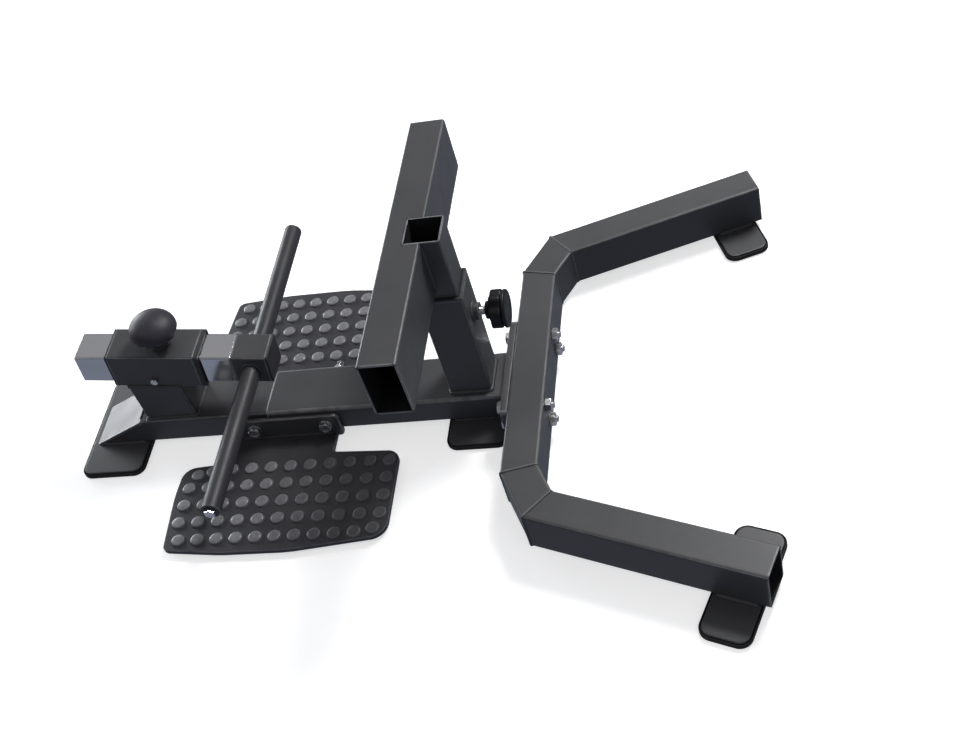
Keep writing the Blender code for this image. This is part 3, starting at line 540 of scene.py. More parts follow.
def carve(shape, *tools, operation="DIFFERENCE"):
    """shape with each tool, a (shape, matrix) pair in its frame, cut out of it or joined to it."""
    base = bpy.data.objects.new("carved", to_mesh("carved", shape))
    bpy.context.scene.collection.objects.link(base)
    helpers = []
    for tool, matrix in tools:
        other = bpy.data.objects.new("tool", to_mesh("tool", tool))
        other.matrix_world = matrix
        bpy.context.scene.collection.objects.link(other)
        helpers.append(other)
        step = base.modifiers.new("step", "BOOLEAN")
        step.operation, step.solver, step.object = operation, "EXACT", other
    bpy.context.view_layer.update()
    mesh = bpy.data.meshes.new_from_object(base.evaluated_get(bpy.context.evaluated_depsgraph_get()))
    made = bmesh.new()
    made.from_mesh(mesh)
    for thing in [base, *helpers]:
        data = thing.data
        bpy.data.objects.remove(thing, do_unlink=True)
        bpy.data.meshes.remove(data)
    bpy.data.meshes.remove(mesh)
    bmesh.ops.remove_doubles(made, verts=made.verts, dist=1e-6)
    return made


def mark_edges(mesh, section=None):
    """Point attribute "edge": 1 on rounded convex edges and 0 on flats, for thin paint and a painted highlight line. On
    a tube along Z of the section (width, height, corner radius, wall) it is 1 only on the crest of the corners, where
    it paints a thin highlight line, and a second attribute,
    "inside", is 1 on the inner walls, which the finishes darken as painted shade."""
    shape = bmesh.new()
    shape.from_mesh(mesh)
    values = [0.0] * len(shape.verts)
    for edge in shape.edges:
        if len(edge.link_faces) == 2:
            amount = (edge.calc_face_angle_signed(0.0) - math.radians(7.2)) / math.radians(6.5)
            if amount > 0:
                for vertex in edge.verts:
                    values[vertex.index] = max(values[vertex.index], min(1.0, amount))
    for face in shape.faces:
        if face.calc_area() / max(edge.calc_length() for edge in face.edges) > 0.003:
            for vertex in face.verts:
                values[vertex.index] = 0.0
    if section:
        width, high, radius, wall = section
        inner_wall_shade = [0.0] * len(values)
        for i, vertex in enumerate(shape.verts):
            x, y = abs(vertex.co.x), abs(vertex.co.y)
            u, v = x - width / 2 + radius, y - high / 2 + radius
            # inner walls get the inside mask, which the finishes darken as painted shade
            if x < width / 2 - wall + 0.0001 and y < high / 2 - wall + 0.0001:
                inner_wall_shade[i], values[i] = 1.0, 0.0
            elif u > 0 and v > 0:
                # on the corners only the crest is kept: a thin painted highlight line
                values[i] = min(values[i], max(0.0, 1 - abs(math.degrees(math.atan2(v, u)) - 45) / 20))
        mesh.attributes.new("inside", "FLOAT", "POINT").data.foreach_set("value", inner_wall_shade)
    shape.free()
    mesh.attributes.new("edge", "FLOAT", "POINT").data.foreach_set("value", values)


def piece(name, shape, place, body, slot, finish=None, replaces=(), sharp=32, edges=True, section=None):
    """A finished piece: it rides on its body and stands for the CAD nodes named."""
    mesh = to_mesh(name, shape)
    if edges:
        mark_edges(mesh, section)
    mesh.shade_smooth()
    mesh.set_sharp_from_angle(angle=math.radians(sharp))
    mesh.materials.append(finish or LOOKS[slot])
    made = bpy.data.objects.new(name, mesh)
    bpy.context.scene.collection.objects.link(made)
    if slot == "chrome_plate":                               # its smears run along the tube's own Z
        made.matrix_world = SHIFT @ place
    else:
        mesh.transform(SHIFT @ place)
    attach(made, body)
    if replaces:
        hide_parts(*replaces)
    return made


def axis_place(origin, z_axis, x_axis):
    z, x = Vector(z_axis).normalized(), Vector(x_axis).normalized()
    return Matrix.Translation(origin) @ Matrix((x, z.cross(x), z)).transposed().to_4x4()


def along_x(x, y, z):
    return axis_place((x, y, z), (1, 0, 0), (0, 1, 0))


def along_y(x, y, z):
    return axis_place((x, y, z), (0, 1, 0), (0, 0, 1))


def along_z(x, y, z):
    return Matrix.Translation((x, y, z))


# ================================================================= weld beads
def bead(name, path, width, height, closed=False, body="frame", pitch=0.0025, seed=1, ripple=0.20, slot="frame_paint",
         crest=0.0):
    """Painted weld bead along a path of (point, outward normal): overlapping ripples, a little uneven."""
    points = [Vector(p) for p, n in path]
    normals = [Vector(n).normalized() for p, n in path]
    if closed:
        points.append(points[0])
        normals.append(normals[0])
    marks = [0.0]
    for a, b in zip(points, points[1:]):
        marks.append(marks[-1] + (b - a).length)
    total = marks[-1]
    ripples = max(3, round(total / pitch))
    count = ripples * 5
    around = 12
    rings, k = [], 0
    for i in range(count + (0 if closed else 1)):
        s = total * i / count
        while k < len(marks) - 2 and marks[k + 1] <= s:
            k += 1
        t = (s - marks[k]) / max(1e-9, marks[k + 1] - marks[k])
        p = points[k].lerp(points[k + 1], t)
        n = normals[k].lerp(normals[k + 1], t).normalized()
        along = (points[k + 1] - points[k]).normalized()
        n = (n - along * n.dot(along)).normalized()
        side = along.cross(n)
        turn = 2 * math.pi * s / total
        spot = Vector((math.cos(turn), math.sin(turn), 0)) * total * 28 if closed else Vector((s * 170, 0, 0))
        uneven = field.noise(spot + Vector((0, 0, seed * 7.3)))
        taper = 1.0 if closed else min(1.0, 0.45 + 0.55 * min(s, total - s) / 0.0025)
        ring = []
        for j in range(around):
            a = 2 * math.pi * j / around
            c, h = math.cos(a), math.sin(a)
            bow = 0.42 * (1 - max(0.0, h)) * total / ripples
            wave = 0.5 + 0.5 * math.cos(2 * math.pi * (s - bow) * ripples / total)
            wave = wave ** 0.7
            reach = width / 2 * (1 + 0.10 * uneven) * taper
            rise = height * (1 + 0.18 * uneven - ripple * wave) * taper if h > 0 else height * 0.6 * taper
            ring.append(p + side * c * reach + n * h * rise)
        rings.append(ring)
    shape = loft(rings, loop=closed)
    if closed:
        bmesh.ops.recalc_face_normals(shape, faces=shape.faces)
    made = piece(name, shape, Matrix.Identity(4), body, slot, sharp=60, edges=False)
    # crest paints a thin highlight line along the top of the bead
    if crest:
        values = [crest if i % around == around // 4 else 0.0 for i in range(len(made.data.vertices))]
        made.data.attributes.new("edge", "FLOAT", "POINT").data.foreach_set("value", values)
    return made


def around(outline, place, lift=45.0):
    """Path along a closed outline in place's XY plane; its normals lean out of the plane by lift degrees."""
    turn = place.to_3x3()
    rise, made, count = math.radians(lift), [], len(outline)
    for i, (x, y) in enumerate(outline):
        ax, ay = outline[i - 1]
        bx, by = outline[(i + 1) % count]
        n = Vector((by - ay, ax - bx, 0)).normalized()
        made.append((place @ Vector((x, y, 0)), turn @ (n * math.cos(rise) + Vector((0, 0, math.sin(rise))))))
    return made


# ================================================================= feet
def foot(name, centre, length, width, turn=0.0):
    place = Matrix.Translation((*centre, 0.0)) @ Matrix.Rotation(turn, 4, "Z")
    plate = slab(rounded(length, width, FOOT_R, 10), FOOT_Z, FOOT_Z + FOOT_T, 0.0011)
    piece(name + "_plate_look", plate, place, "frame", "frame_paint", replaces=[name + "_plate"], edges=False)

    def ring(grow, z):
        return at(rounded(length + 0.006 + 2 * grow, width + 0.006 + 2 * grow, FOOT_R + 0.003 + grow, 10), z)

    profile = [(-0.0060, 0.0), (-0.0016, 0.0), (-0.0009, 0.0001), (-0.0003, 0.0005), (0.0, 0.0011), (0.0, 0.0022),
               (-0.00035, 0.0025), (-0.00045, 0.0028), (-0.00035, 0.0031), (0.0, 0.0034), (0.0, 0.0060),
               (-0.0001, 0.0067), (-0.0003, 0.0072), (-0.0006, 0.00745), (-0.0009, 0.0075), (-0.0012, 0.00745),
               (-0.0014, 0.0072), (-0.0015, 0.0067), (-0.0015, 0.0056), (-0.0017, 0.0050), (-0.0022, PAD_H),
               (-0.0060, PAD_H)]
    piece(name + "_boot_look", loft([ring(g, z) for g, z in profile]), place, "frame", "pad_rubber", replaces=[name + "_pad"])
    return place


foot("front_foot", (FRONT_FOOT_X, 0), FRONT_FOOT_L, FRONT_FOOT_W)
foot("rear_foot", (REAR_FOOT_X, 0), REAR_FOOT_L, REAR_FOOT_W)
ARM_DIR = Vector((REAR_E[0] - REAR_C[0], REAR_E[1] - REAR_C[1])).normalized()
ARM_TURN = math.atan2(ARM_DIR.y, ARM_DIR.x)
FOOT_TOP = FOOT_Z + FOOT_T
for side, sign in (("left", 1), ("right", -1)):
    inset = ARM_FOOT_L / 2 + ARM_FOOT_BACK
    centre = (REAR_E[0] - ARM_DIR.x * inset, sign * (REAR_E[1] - ARM_DIR.y * inset))
    place = foot("arm_foot_" + side, centre, ARM_FOOT_L, ARM_FOOT_W, sign * ARM_TURN)
    for label, way in (("inner", -1), ("outer", 1)):
        path = [(place @ Vector((x, way * (REAR_W / 2 + 0.0006), FOOT_TOP + 0.0006)), place.to_3x3() @ Vector((0, way, 1)))
                for x in (-0.0265, 0.0265)]
        bead(f"weld_arm_foot_{side}_{label}", path, 0.0062, 0.0030, seed=10 + way + 3 * sign)
for label, way in (("left", 1), ("right", -1)):
    path = [((x, way * (SPINE_W / 2 + 0.0006), FOOT_TOP + 0.0006), (0, way, 1)) for x in (-0.496, -0.424)]
    bead(f"weld_front_foot_{label}", path, 0.0060, 0.0029, seed=20 + way)
    path = [((x, way * (SPINE_W / 2 + 0.0006), FOOT_TOP + 0.0006), (0, way, 1)) for x in (0.062, 0.136)]
    bead(f"weld_rear_foot_{label}", path, 0.0060, 0.0029, seed=24 + way)

# ================================================================= spine
SPINE_MID = FLOOR_Z + SPINE_H / 2
SPINE_TOP = FLOOR_Z + SPINE_H
WEDGE_ANGLE = math.atan2(SPINE_H, WEDGE_TOP - WEDGE_BOTTOM)
WEDGE_MID = (WEDGE_TOP + WEDGE_BOTTOM) / 2
CUT_MID = WEDGE_MID + (WEDGE_T + GAP) / math.sin(WEDGE_ANGLE)
half_in = SPINE_W / 2 + GAP
half_out = half_in + SADDLE_T
saddle_top = SPINE_TOP + GAP + SADDLE_T

spine = tube(SPINE_W, SPINE_H, SPINE_WALL, SPINE_R, SPINE_REAR - CUT_MID)
shear_end(spine, -1, slope_y=(WEDGE_TOP - WEDGE_BOTTOM) / SPINE_H)
spine_place = along_x((SPINE_REAR + CUT_MID) / 2, 0, SPINE_MID)
holes = [(bar(BOLT_HOLE, -0.09, 0.09), along_y(x, 0, PLATE_BOLT_Z)) for x in PLATE_BOLT_X]
spine = carve(spine, *[(tool, spine_place.inverted() @ m) for tool, m in holes])
piece("main_beam_look", spine, spine_place, "frame", "frame_paint", replaces=["main_beam"],
      section=(SPINE_W, SPINE_H, SPINE_R, SPINE_WALL))

wedge_length = math.hypot(SPINE_H, WEDGE_TOP - WEDGE_BOTTOM) - 2 * GAP
wedge = slab(rounded(wedge_length, SPINE_W, 0.003, 5), -WEDGE_T / 2, WEDGE_T / 2, 0.0007)
for vertex in wedge.verts:
    vertex.co.x += (WEDGE_T / 2 - vertex.co.z) / math.tan(WEDGE_ANGLE)
slope = Vector((WEDGE_TOP - WEDGE_BOTTOM, 0, SPINE_H)).normalized()
wedge_normal = Vector((-slope.z, 0, slope.x))
wedge_place = axis_place(Vector((WEDGE_MID, 0, SPINE_MID)) - wedge_normal * WEDGE_T / 2, wedge_normal, slope)
piece("front_wedge_plate_look", wedge, wedge_place, "frame", "frame_paint", replaces=["front_wedge_plate"])
for label, way in (("left", 1), ("right", -1)):
    path = [(wedge_place @ Vector((x, way * SPINE_W / 2, -WEDGE_T / 2)), (0, way, 0)) for x in (-0.035, 0.044)]
    bead(f"weld_wedge_{label}", path, 0.0038, 0.0009, seed=30 + way)
path = [(wedge_place @ Vector((wedge_length / 2 + 0.0002, y, WEDGE_T / 2)), (0.2, 0, 1)) for y in (-0.031, 0.031)]
bead("weld_wedge_top", path, 0.0042, 0.0010, seed=33)


def saddle_outline():
    points = [(-half_out, SADDLE_LOW), (-half_in, SADDLE_LOW), (-half_in, saddle_top - SADDLE_T),
              (half_in, saddle_top - SADDLE_T), (half_in, SADDLE_LOW), (half_out, SADDLE_LOW)]
    radius = 0.005
    for cx, start in ((half_out - radius, 0), (-half_out + radius, 90)):
        first = math.radians(start)
        points.append((cx + radius * math.cos(first) + 0.002 * math.sin(first),
                       saddle_top - radius + radius * math.sin(first) - 0.002 * math.cos(first)))
        for i in range(8):
            angle = first + math.radians(90 * i / 7)
            points.append((cx + radius * math.cos(angle), saddle_top - radius + radius * math.sin(angle)))
        last = first + math.pi / 2
        points.append((cx + radius * math.cos(last) - 0.002 * math.sin(last),
                       saddle_top - radius + radius * math.sin(last) + 0.002 * math.cos(last)))
    return points


saddle_half = (SPINE_REAR - SADDLE_FRONT) / 2
saddle_place = along_x((SPINE_REAR + SADDLE_FRONT) / 2, 0, 0)
saddle = slab(saddle_outline(), -saddle_half, saddle_half, 0.0006, 0.0005)
holes = [(bar(BOLT_HOLE, -0.09, 0.09), saddle_place.inverted() @ along_y(x, 0, PLATE_BOLT_Z)) for x in PLATE_BOLT_X]
piece("saddle_look", carve(saddle, *holes), saddle_place, "frame", "frame_paint", replaces=["saddle"])
bead("weld_saddle_front", [((SADDLE_FRONT - 0.0004, y, SPINE_TOP + 0.0004), (-1, 0, 1)) for y in (-0.034, 0.034)],
     0.0060, 0.0028, seed=36)

# ================================================================= foot plates
FLANGE_IN = half_out + GAP
FLANGE_OUT = FLANGE_IN + FLANGE_T


def filleted(corners, step):
    """Closed outline through (x, y, radius) corners, each rounded by chords of about step degrees."""
    made = []
    for i, (x, y, radius) in enumerate(corners):
        corner = Vector((x, y))
        if not radius:
            made.append((x, y))
            continue
        a = (Vector(corners[i - 1][:2]) - corner).normalized()
        b = (Vector(corners[(i + 1) % len(corners)][:2]) - corner).normalized()
        half = math.acos(a.dot(b)) / 2
        centre = corner + (a + b).normalized() * radius / math.sin(half)
        start, end = (corner + way * radius / math.tan(half) - centre for way in (a, b))
        first = math.atan2(start.y, start.x)
        sweep = (math.atan2(end.y, end.x) - first + math.pi) % (2 * math.pi) - math.pi
        steps = max(1, round(abs(math.degrees(sweep)) / step))
        for k in range(steps + 1):
            angle = first + sweep * k / steps
            made.append((centre.x + radius * math.cos(angle), centre.y + radius * math.sin(angle)))
    return made


def plate_outline():
    """Top view of the studded plate with its neck, anticlockwise in (x, y)."""
    return filleted([
        (NECK_X0, FLANGE_IN, 0), (NECK_X1, FLANGE_IN, 0),
        (NECK_X1, PLATE_Y0 - 0.0025, 0.007),
        (PLATE_X1 - 0.0010, PLATE_Y0 + 0.0025, 0.020),
        (PLATE_X1, PLATE_Y1 - 0.0180, 0.026),
        (-0.150, PLATE_Y1 - 0.0010, 0.15), (-0.250, PLATE_Y1 - 0.0010, 0.15),
        (PLATE_X0 + 0.0075, PLATE_Y1 - 0.0090, 0.012),
        (PLATE_X0, 0.150, 0.12),
        (PLATE_X0 + 0.0025, PLATE_Y0 + 0.0125, 0.022),
        (NECK_X0, PLATE_Y0 + 0.0065, 0.006),
    ], 7)


def nearest(point, outline):
    """Nearest point of an outline's sides, and how far it is."""
    best = (None, 1.0)
    for a, b in zip(outline, outline[1:] + outline[:1]):
        a, b = Vector(a), Vector(b)
        t = max(0.0, min(1.0, (point - a).dot(b - a) / (b - a).length_squared))
        spot = a.lerp(b, t)
        if (point - spot).length < best[1]:
            best = (spot, (point - spot).length)
    return best


def filled(outlines, z):
    """Flat mesh between the first outline and the holes that follow it."""
    curve = bpy.data.curves.new("fill", "CURVE")
    curve.dimensions, curve.fill_mode = "2D", "BOTH"
    for outline in outlines:
        spline = curve.splines.new("POLY")
        spline.points.add(len(outline) - 1)
        for point, (x, y) in zip(spline.points, outline):
            point.co = (x, y, 0.0, 1.0)
        spline.use_cyclic_u = True
    guide = bpy.data.objects.new("fill", curve)
    bpy.context.scene.collection.objects.link(guide)
    bpy.context.view_layer.update()
    mesh = bpy.data.meshes.new_from_object(guide.evaluated_get(bpy.context.evaluated_depsgraph_get()))
    bpy.data.objects.remove(guide, do_unlink=True)
    bpy.data.curves.remove(curve)
    mesh.transform(Matrix.Translation((0, 0, z)))
    return mesh


STUD = [(0.0107, 0.0), (0.01045, 0.0002), (0.0102, 0.0008), (0.0099, 0.0016), (0.0093, 0.0024), (0.0083, 0.00295),
        (0.0068, 0.0033), (0.0048, 0.0035), (0.0025, 0.0036), (0.0, 0.00363)]


def stud_spots(outline):
    """Five rows of studs, each kept clear of the plate's edge."""
    spots = []
    for row in range(5):
        first, pitch = (-0.3175, 0.0290) if row == 4 else (-0.3254, 0.0302)
        for column in range(11):
            spot = Vector((first + pitch * column, 0.1063 + 0.0304 * row))
            if row == 0 and column == 0:
                spot = Vector((-0.3172, 0.1133))
            for _ in range(4):
                near, gap = nearest(spot, outline)
                if gap < 0.0133:
                    spot += (spot - near).normalized() * (0.0133 - gap)
            spots.append((spot.x, spot.y))
    return spots


def foot_plate(name, sign):
    outline = plate_outline()
    top, edge = PLATE_T, 0.0016
    inner_top, inner_low = grown(outline, -0.0020), grown(outline, -0.0016)
    studs = stud_spots(outline)
    rim = 28

    def ring_at(spot, radius):
        turn = 0.037 * studs.index(spot)                     # no three rings share a tangent, so the fill has no slivers
        return [(spot[0] + radius * math.cos(2 * math.pi * i / rim + turn), spot[1] + radius * math.sin(2 * math.pi * i / rim + turn))
                for i in range(rim)]

    holes = [ring_at(spot, STUD[0][0] * 1.02) for spot in studs]
    shape = bmesh.new()
    wear_and_painted_light = shape.verts.layers.float.new("stud")
    shape.from_mesh(filled([inner_top] + holes, top))
    shape.from_mesh(filled([inner_low] + holes, 0.0))
    rings = [at(inner_low, 0.0)]
    rings += [at(grown(outline, -i) if i else outline, d) for i, d in lip(0.0010)]
    rings += [at(grown(outline, -i) if i else outline, top - d) for i, d in reversed(lip(edge, 5))]
    rings.append(at(inner_top, top))
    for spot, hole in zip(studs, holes):
        for z, rise in ((top, 1.0), (0.0, 0.92)):
            rings_here = [at(hole, z)] + [at(ring_at(spot, r), z + h * rise) for r, h in STUD[:-1]]
            rows = [[shape.verts.new(p) for p in ring] for ring in rings_here]
            tip = shape.verts.new((*spot, z + STUD[-1][1] * rise))
            for a, b in zip(rows, rows[1:]):
                for i in range(rim):
                    shape.faces.new((a[i], a[(i + 1) % rim], b[(i + 1) % rim], b[i]))
            for i in range(rim):
                shape.faces.new((rows[-1][i], rows[-1][(i + 1) % rim], tip))
            if z > 0:
                # on the right plate the stud tops dim towards its rear end: painted shade; the left plate keeps them
                # full
                scuff_dimmed_by_painted_shade = 1.0 if sign > 0 else 1.0 - 0.72 * min(1.0, max(0.0, (spot[0] + 0.235) / 0.130))
                for row, (r, h) in zip(rows[1:], STUD):
                    for vertex in row:
                        vertex[wear_and_painted_light] = scuff_dimmed_by_painted_shade * min(1.0, max(0.0, (0.0098 - r) / 0.0014))
                tip[wear_and_painted_light] = scuff_dimmed_by_painted_shade
    rows = [[shape.verts.new(p) for p in ring] for ring in rings]
    for a, b in zip(rows, rows[1:]):
        for i in range(len(a)):
            j = (i + 1) % len(a)
            shape.faces.new((a[i], a[j], b[j], b[i]))
    bmesh.ops.remove_doubles(shape, verts=shape.verts, dist=2e-6)
    bmesh.ops.recalc_face_normals(shape, faces=shape.faces)
    if sign < 0:
        bmesh.ops.scale(shape, vec=(1, -1, 1), verts=shape.verts)
        bmesh.ops.reverse_faces(shape, faces=shape.faces)
    piece(name + "_look", shape, along_z(0, 0, PLATE_Z), "frame", "plate_paint", replaces=[name])
    y = sign * (FLANGE_IN + FLANGE_OUT) / 2
    middle_x, middle_z = (FLANGE_X0 + FLANGE_X1) / 2, (FLANGE_TOP + PLATE_Z + 0.0004) / 2
    upright = slab(rounded(FLANGE_X1 - FLANGE_X0, FLANGE_TOP - PLATE_Z - 0.0004, 0.008, 8), -FLANGE_T / 2, FLANGE_T / 2, 0.0010)
    upright = carve(upright, *[(bar(BOLT_HOLE, -0.02, 0.02), along_z(x - middle_x, PLATE_BOLT_Z - middle_z, 0)) for x in PLATE_BOLT_X])
    piece(name + "_flange_look", upright, axis_place((middle_x, y, middle_z), (0, -1, 0), (1, 0, 0)), "frame", "plate_paint",
          finish=PAINT)
    path = [((x, sign * (FLANGE_OUT + 0.0004), PLATE_Z + PLATE_T + 0.0004), (0, sign, 1)) for x in (NECK_X0 + 0.010, NECK_X1 - 0.006)]
    bead("weld_" + name, path, 0.0062, 0.0030, seed=40 + sign, slot="plate_paint")


foot_plate("foot_plate_left", 1)
foot_plate("foot_plate_right", -1)


# ================================================================= fasteners
def hex_ring(across, limit, z, count=48):
    """Ring of a hexagon with flats at 0, 60, ... degrees, cut back to a circle of radius limit."""
    made = []
    for i in range(count):
        a = 2 * math.pi * i / count
        flat = across / 2 / math.cos((a + math.pi / 6) % (math.pi / 3) - math.pi / 6)
        r = min(flat, limit)
        made.append((r * math.cos(a), r * math.sin(a), z))
    return made


def chamfers(across, low, high, steps=4):
    """Rings of the chamfered top of a hexagon, from low to high."""
    corner, face = across / math.sqrt(3), across / 2 * 0.955
    return [hex_ring(across, corner + (face - corner) * (i / steps) ** 1.25, low + (high - low) * i / steps) for i in range(steps + 1)]


def thread_rings(radius, low, high, pitch, count, fade_low=True):
    """Rings of a threaded rod, from low to high, running out at the top."""
    rings, steps = [], max(6, round((high - low) / (pitch / 7)))
    for j in range(steps + 1):
        z = low + (high - low) * j / steps
        fade = min(1.0, (high - z) / (1.5 * pitch))
        ring = []
        for i in range(count):
            a = i / count
            groove = 0.5 - 0.5 * math.cos(2 * math.pi * (z / pitch - a))
            r = radius - 0.48 * pitch * fade * groove ** 0.8
            if fade_low:
                r = min(r, radius - 0.0010 + (z - low))
            ring.append((r * math.cos(2 * math.pi * a), r * math.sin(2 * math.pi * a), z))
        rings.append(ring)
    return rings


def bolt_shape(length, radius, across, head_h, thread, pitch, count=48):
    """Hexagon bolt: head from Z = 0 up to head_h, shank down to -length, threaded over its last part."""
    rings = thread_rings(radius, -length, -length + thread, pitch, count)
    rings += [at(circle(radius, count), -0.0012), at(circle(radius * 1.02, count), -0.0004), at(circle(radius * 1.10, count), 0.0)]
    rings += [at(circle(across * 0.465, count), 0.0), at(circle(across * 0.475, count), 0.0001), at(circle(across * 0.475, count), 0.00045)]
    corner = across / math.sqrt(3)
    rings += [hex_ring(across, corner * 0.965, 0.00045, count), hex_ring(across, corner, 0.0010, count)]
    rings += [hex_ring(across, corner, head_h * 0.6, count)]
    rings += chamfers(across, head_h - across * 0.062, head_h)
    rings += [at(circle(across * 0.455, count), head_h), at(circle(across * 0.36, count), head_h),
              at(circle(across * 0.33, count), head_h - 0.00035), at(circle(across * 0.30, count), head_h - 0.00045),
              [(0.0, 0.0, head_h - 0.00045)]]
    return loft(rings)


def nut_shape(radius, across, high, count=48):
    corner, face = across / math.sqrt(3), across / 2 * 0.955
    low = [hex_ring(across, face + (corner - face) * (i / 4) ** 0.8, across * 0.055 * i / 4, count) for i in range(5)]
    top = chamfers(across, high - across * 0.055, high)
    bore = radius + 0.00012
    inner = [at(circle(bore + 0.0009, count), high), at(circle(bore, count), high - 0.0009),
             at(circle(bore, count), 0.0009), at(circle(bore + 0.0009, count), 0.0)]
    return loft(low + top + inner, loop=True)


def washer_shape(radius, bore, high):
    profile = softened([(bore, 0.0), (radius, 0.0), (radius, high), (bore, high)], 0.0004, closed=True, steps=2)
    return turned(profile, 48, loop=True)


WASHER_FACE = FLANGE_OUT + GAP
HEAD_FACE = WASHER_FACE + WASHER_T + GAP
for label, x, turn in (("front", PLATE_BOLT_X[0], 11.0), ("rear", PLATE_BOLT_X[1], -17.0)):
    spin = Matrix.Rotation(math.radians(turn), 4, "Z")
    near = axis_place((x, -HEAD_FACE, PLATE_BOLT_Z), (0, -1, 0), (1, 0, 0))
    far = axis_place((x, HEAD_FACE, PLATE_BOLT_Z), (0, 1, 0), (1, 0, 0))
    piece("plate_bolt_" + label + "_look", bolt_shape(2 * HEAD_FACE + NUT_H + 0.014, BOLT_R, HEX_AF, HEX_H, 0.028, 0.0015),
          near @ spin, "frame", "zinc_steel", replaces=["plate_bolt_" + label])
    piece("plate_nut_" + label + "_look", nut_shape(BOLT_R, HEX_AF, NUT_H), far @ spin, "frame", "zinc_steel",
          replaces=["plate_nut_" + label])
    for where, y_sign in (("near", -1), ("far", 1)):
        flat = axis_place((x, y_sign * WASHER_FACE, PLATE_BOLT_Z), (0, y_sign, 0), (1, 0, 0))
        piece(f"plate_washer_{where}_{label}_look", washer_shape(WASHER_R, BOLT_R + GAP, WASHER_T), flat, "frame", "zinc_steel",
              replaces=[f"plate_washer_{where}_{label}"])

# ================================================================= front post and sleeve
SLIDER = Matrix.Translation((SLIDER_X, 0, SLIDER_Z)) @ Matrix.Rotation(SLIDER_TILT, 4, "Y")
ALONG_U = Matrix(((0, 0, 1, 0), (1, 0, 0, 0), (0, 1, 0, 0), (0, 0, 0, 1)))


def on_slider(u, v=0.0, w=0.0):
    return SLIDER @ Matrix.Translation((u, v, w))


post_low = SPINE_TOP + GAP
post_high = (SLIDER_Z - (FRONT_POST_X - SLIDER_X) * math.tan(SLIDER_TILT)) - (SLEEVE_SIDE / 2 + GAP) / math.cos(SLIDER_TILT)
post = tube(FRONT_POST_L, FRONT_POST_W, FRONT_POST_WALL, 0.0035, post_high - post_low)
shear_end(post, 1, slope_x=-math.tan(SLIDER_TILT))
post_place = along_z(FRONT_POST_X, 0, (post_high + post_low) / 2)
piece("front_post_look", post, post_place, "frame", "frame_paint", replaces=["front_post"],
      section=(FRONT_POST_L, FRONT_POST_W, 0.0035, FRONT_POST_WALL))
bead("weld_front_post_foot", around(rounded(FRONT_POST_L + 0.0006, FRONT_POST_W + 0.0006, 0.0043, 8), along_z(FRONT_POST_X, 0, SPINE_TOP + 0.0004)),
     0.0066, 0.0031, closed=True, seed=50)
seat = SLIDER @ Matrix.Translation(((FRONT_POST_X - SLIDER_X) / math.cos(SLIDER_TILT) + 0.0035, 0, -SLEEVE_SIDE / 2))
path = []
for p, n in around(rounded(0.0806, 0.0606, 0.0030, 6), Matrix.Identity(4), 0.0):
    lift = 1.0 if abs(n.y) > abs(n.x) else -1.0
    blend = Vector((n.x, n.y, 0.9 * (abs(n.y) - abs(n.x))))
    path.append((seat @ p, seat.to_3x3() @ blend))
bead("weld_front_post_head", path, 0.0056, 0.0026, closed=True, seed=51)

sleeve_place = on_slider((SLEEVE_U0 + SLEEVE_U1) / 2) @ ALONG_U
sleeve = tube(SLEEVE_SIDE, SLEEVE_SIDE, SLEEVE_WALL, 0.0035, SLEEVE_U1 - SLEEVE_U0)
back = sleeve_place.inverted()
sleeve = carve(
    sleeve,
    (bar(STUD_BORE, 0.010, 0.050), back @ on_slider(FRONT_CLAMP_U)),
    (bar(0.0036, -0.045, -0.015), back @ on_slider(SCREW_U, 0, SCREW_W) @ Matrix.Rotation(math.radians(-90), 4, "X")),
)
piece("front_sleeve_look", sleeve, sleeve_place, "frame", "frame_paint", replaces=["front_sleeve"],
      section=(SLEEVE_SIDE, SLEEVE_SIDE, 0.0035, SLEEVE_WALL))

LINER_IN = SLEEVE_SIDE - 2 * SLEEVE_WALL - 2 * GAP
LINER_BORE = SLIDE_SIDE + 0.001


def liner(name, place, rim, depth=LINER_DEPTH, outer=SLEEVE_SIDE):
    """Square plastic liner: rim from Z = 0 to rim, skirt down to -depth."""
    def ring(width, radius, z):
        return at(rounded(width, width, radius), z)
    rings = [ring(LINER_IN - 0.0012, 0.0016, -depth), ring(LINER_IN, 0.0020, -depth + 0.0010), ring(LINER_IN, 0.0020, 0.0)]
    rings += [ring(outer - 0.0008, 0.0031, 0.0), ring(outer - 0.0002, 0.0034, 0.0002), ring(outer, 0.0035, 0.0006)]
    if rim > 0.004:
        rings += [ring(outer, 0.0035, rim * 0.44), ring(outer - 0.0010, 0.0031, rim * 0.50), ring(outer - 0.0010, 0.0031, rim * 0.56),
                  ring(outer, 0.0035, rim * 0.62)]
    rings += [ring(outer, 0.0035, rim - 0.0011), ring(outer - 0.0004, 0.0033, rim - 0.0004), ring(outer - 0.0016, 0.0028, rim)]
    rings += [ring(LINER_BORE + 0.0022, 0.0034, rim), ring(LINER_BORE + 0.0006, 0.0031, rim - 0.0005), ring(LINER_BORE, 0.0030, rim - 0.0014)]
    rings += [ring(LINER_BORE, 0.0030, -depth + 0.0010), ring(LINER_BORE + 0.0010, 0.0032, -depth)]
    return piece(name + "_look", loft(rings, loop=True), place, "frame", "liner_plastic", replaces=[name])


liner("sleeve_liner_front", on_slider(SLEEVE_U0 - GAP) @ ALONG_U @ Matrix.Rotation(math.pi, 4, "X"), LINER_RIM_FRONT)
liner("sleeve_liner_rear", on_slider(SLEEVE_U1 + GAP) @ ALONG_U, LINER_RIM_REAR)

screw_place = on_slider(SCREW_U, -(SLEEVE_SIDE / 2 + GAP), SCREW_W) @ Matrix.Rotation(math.radians(90), 4, "X")
piece("sleeve_set_screw_look", bolt_shape(0.0046, 0.003, 0.010, 0.005, 0.0030, 0.001), screw_place @ Matrix.Rotation(0.3, 4, "Z"),
      "frame", "zinc_steel", replaces=["sleeve_set_screw"])

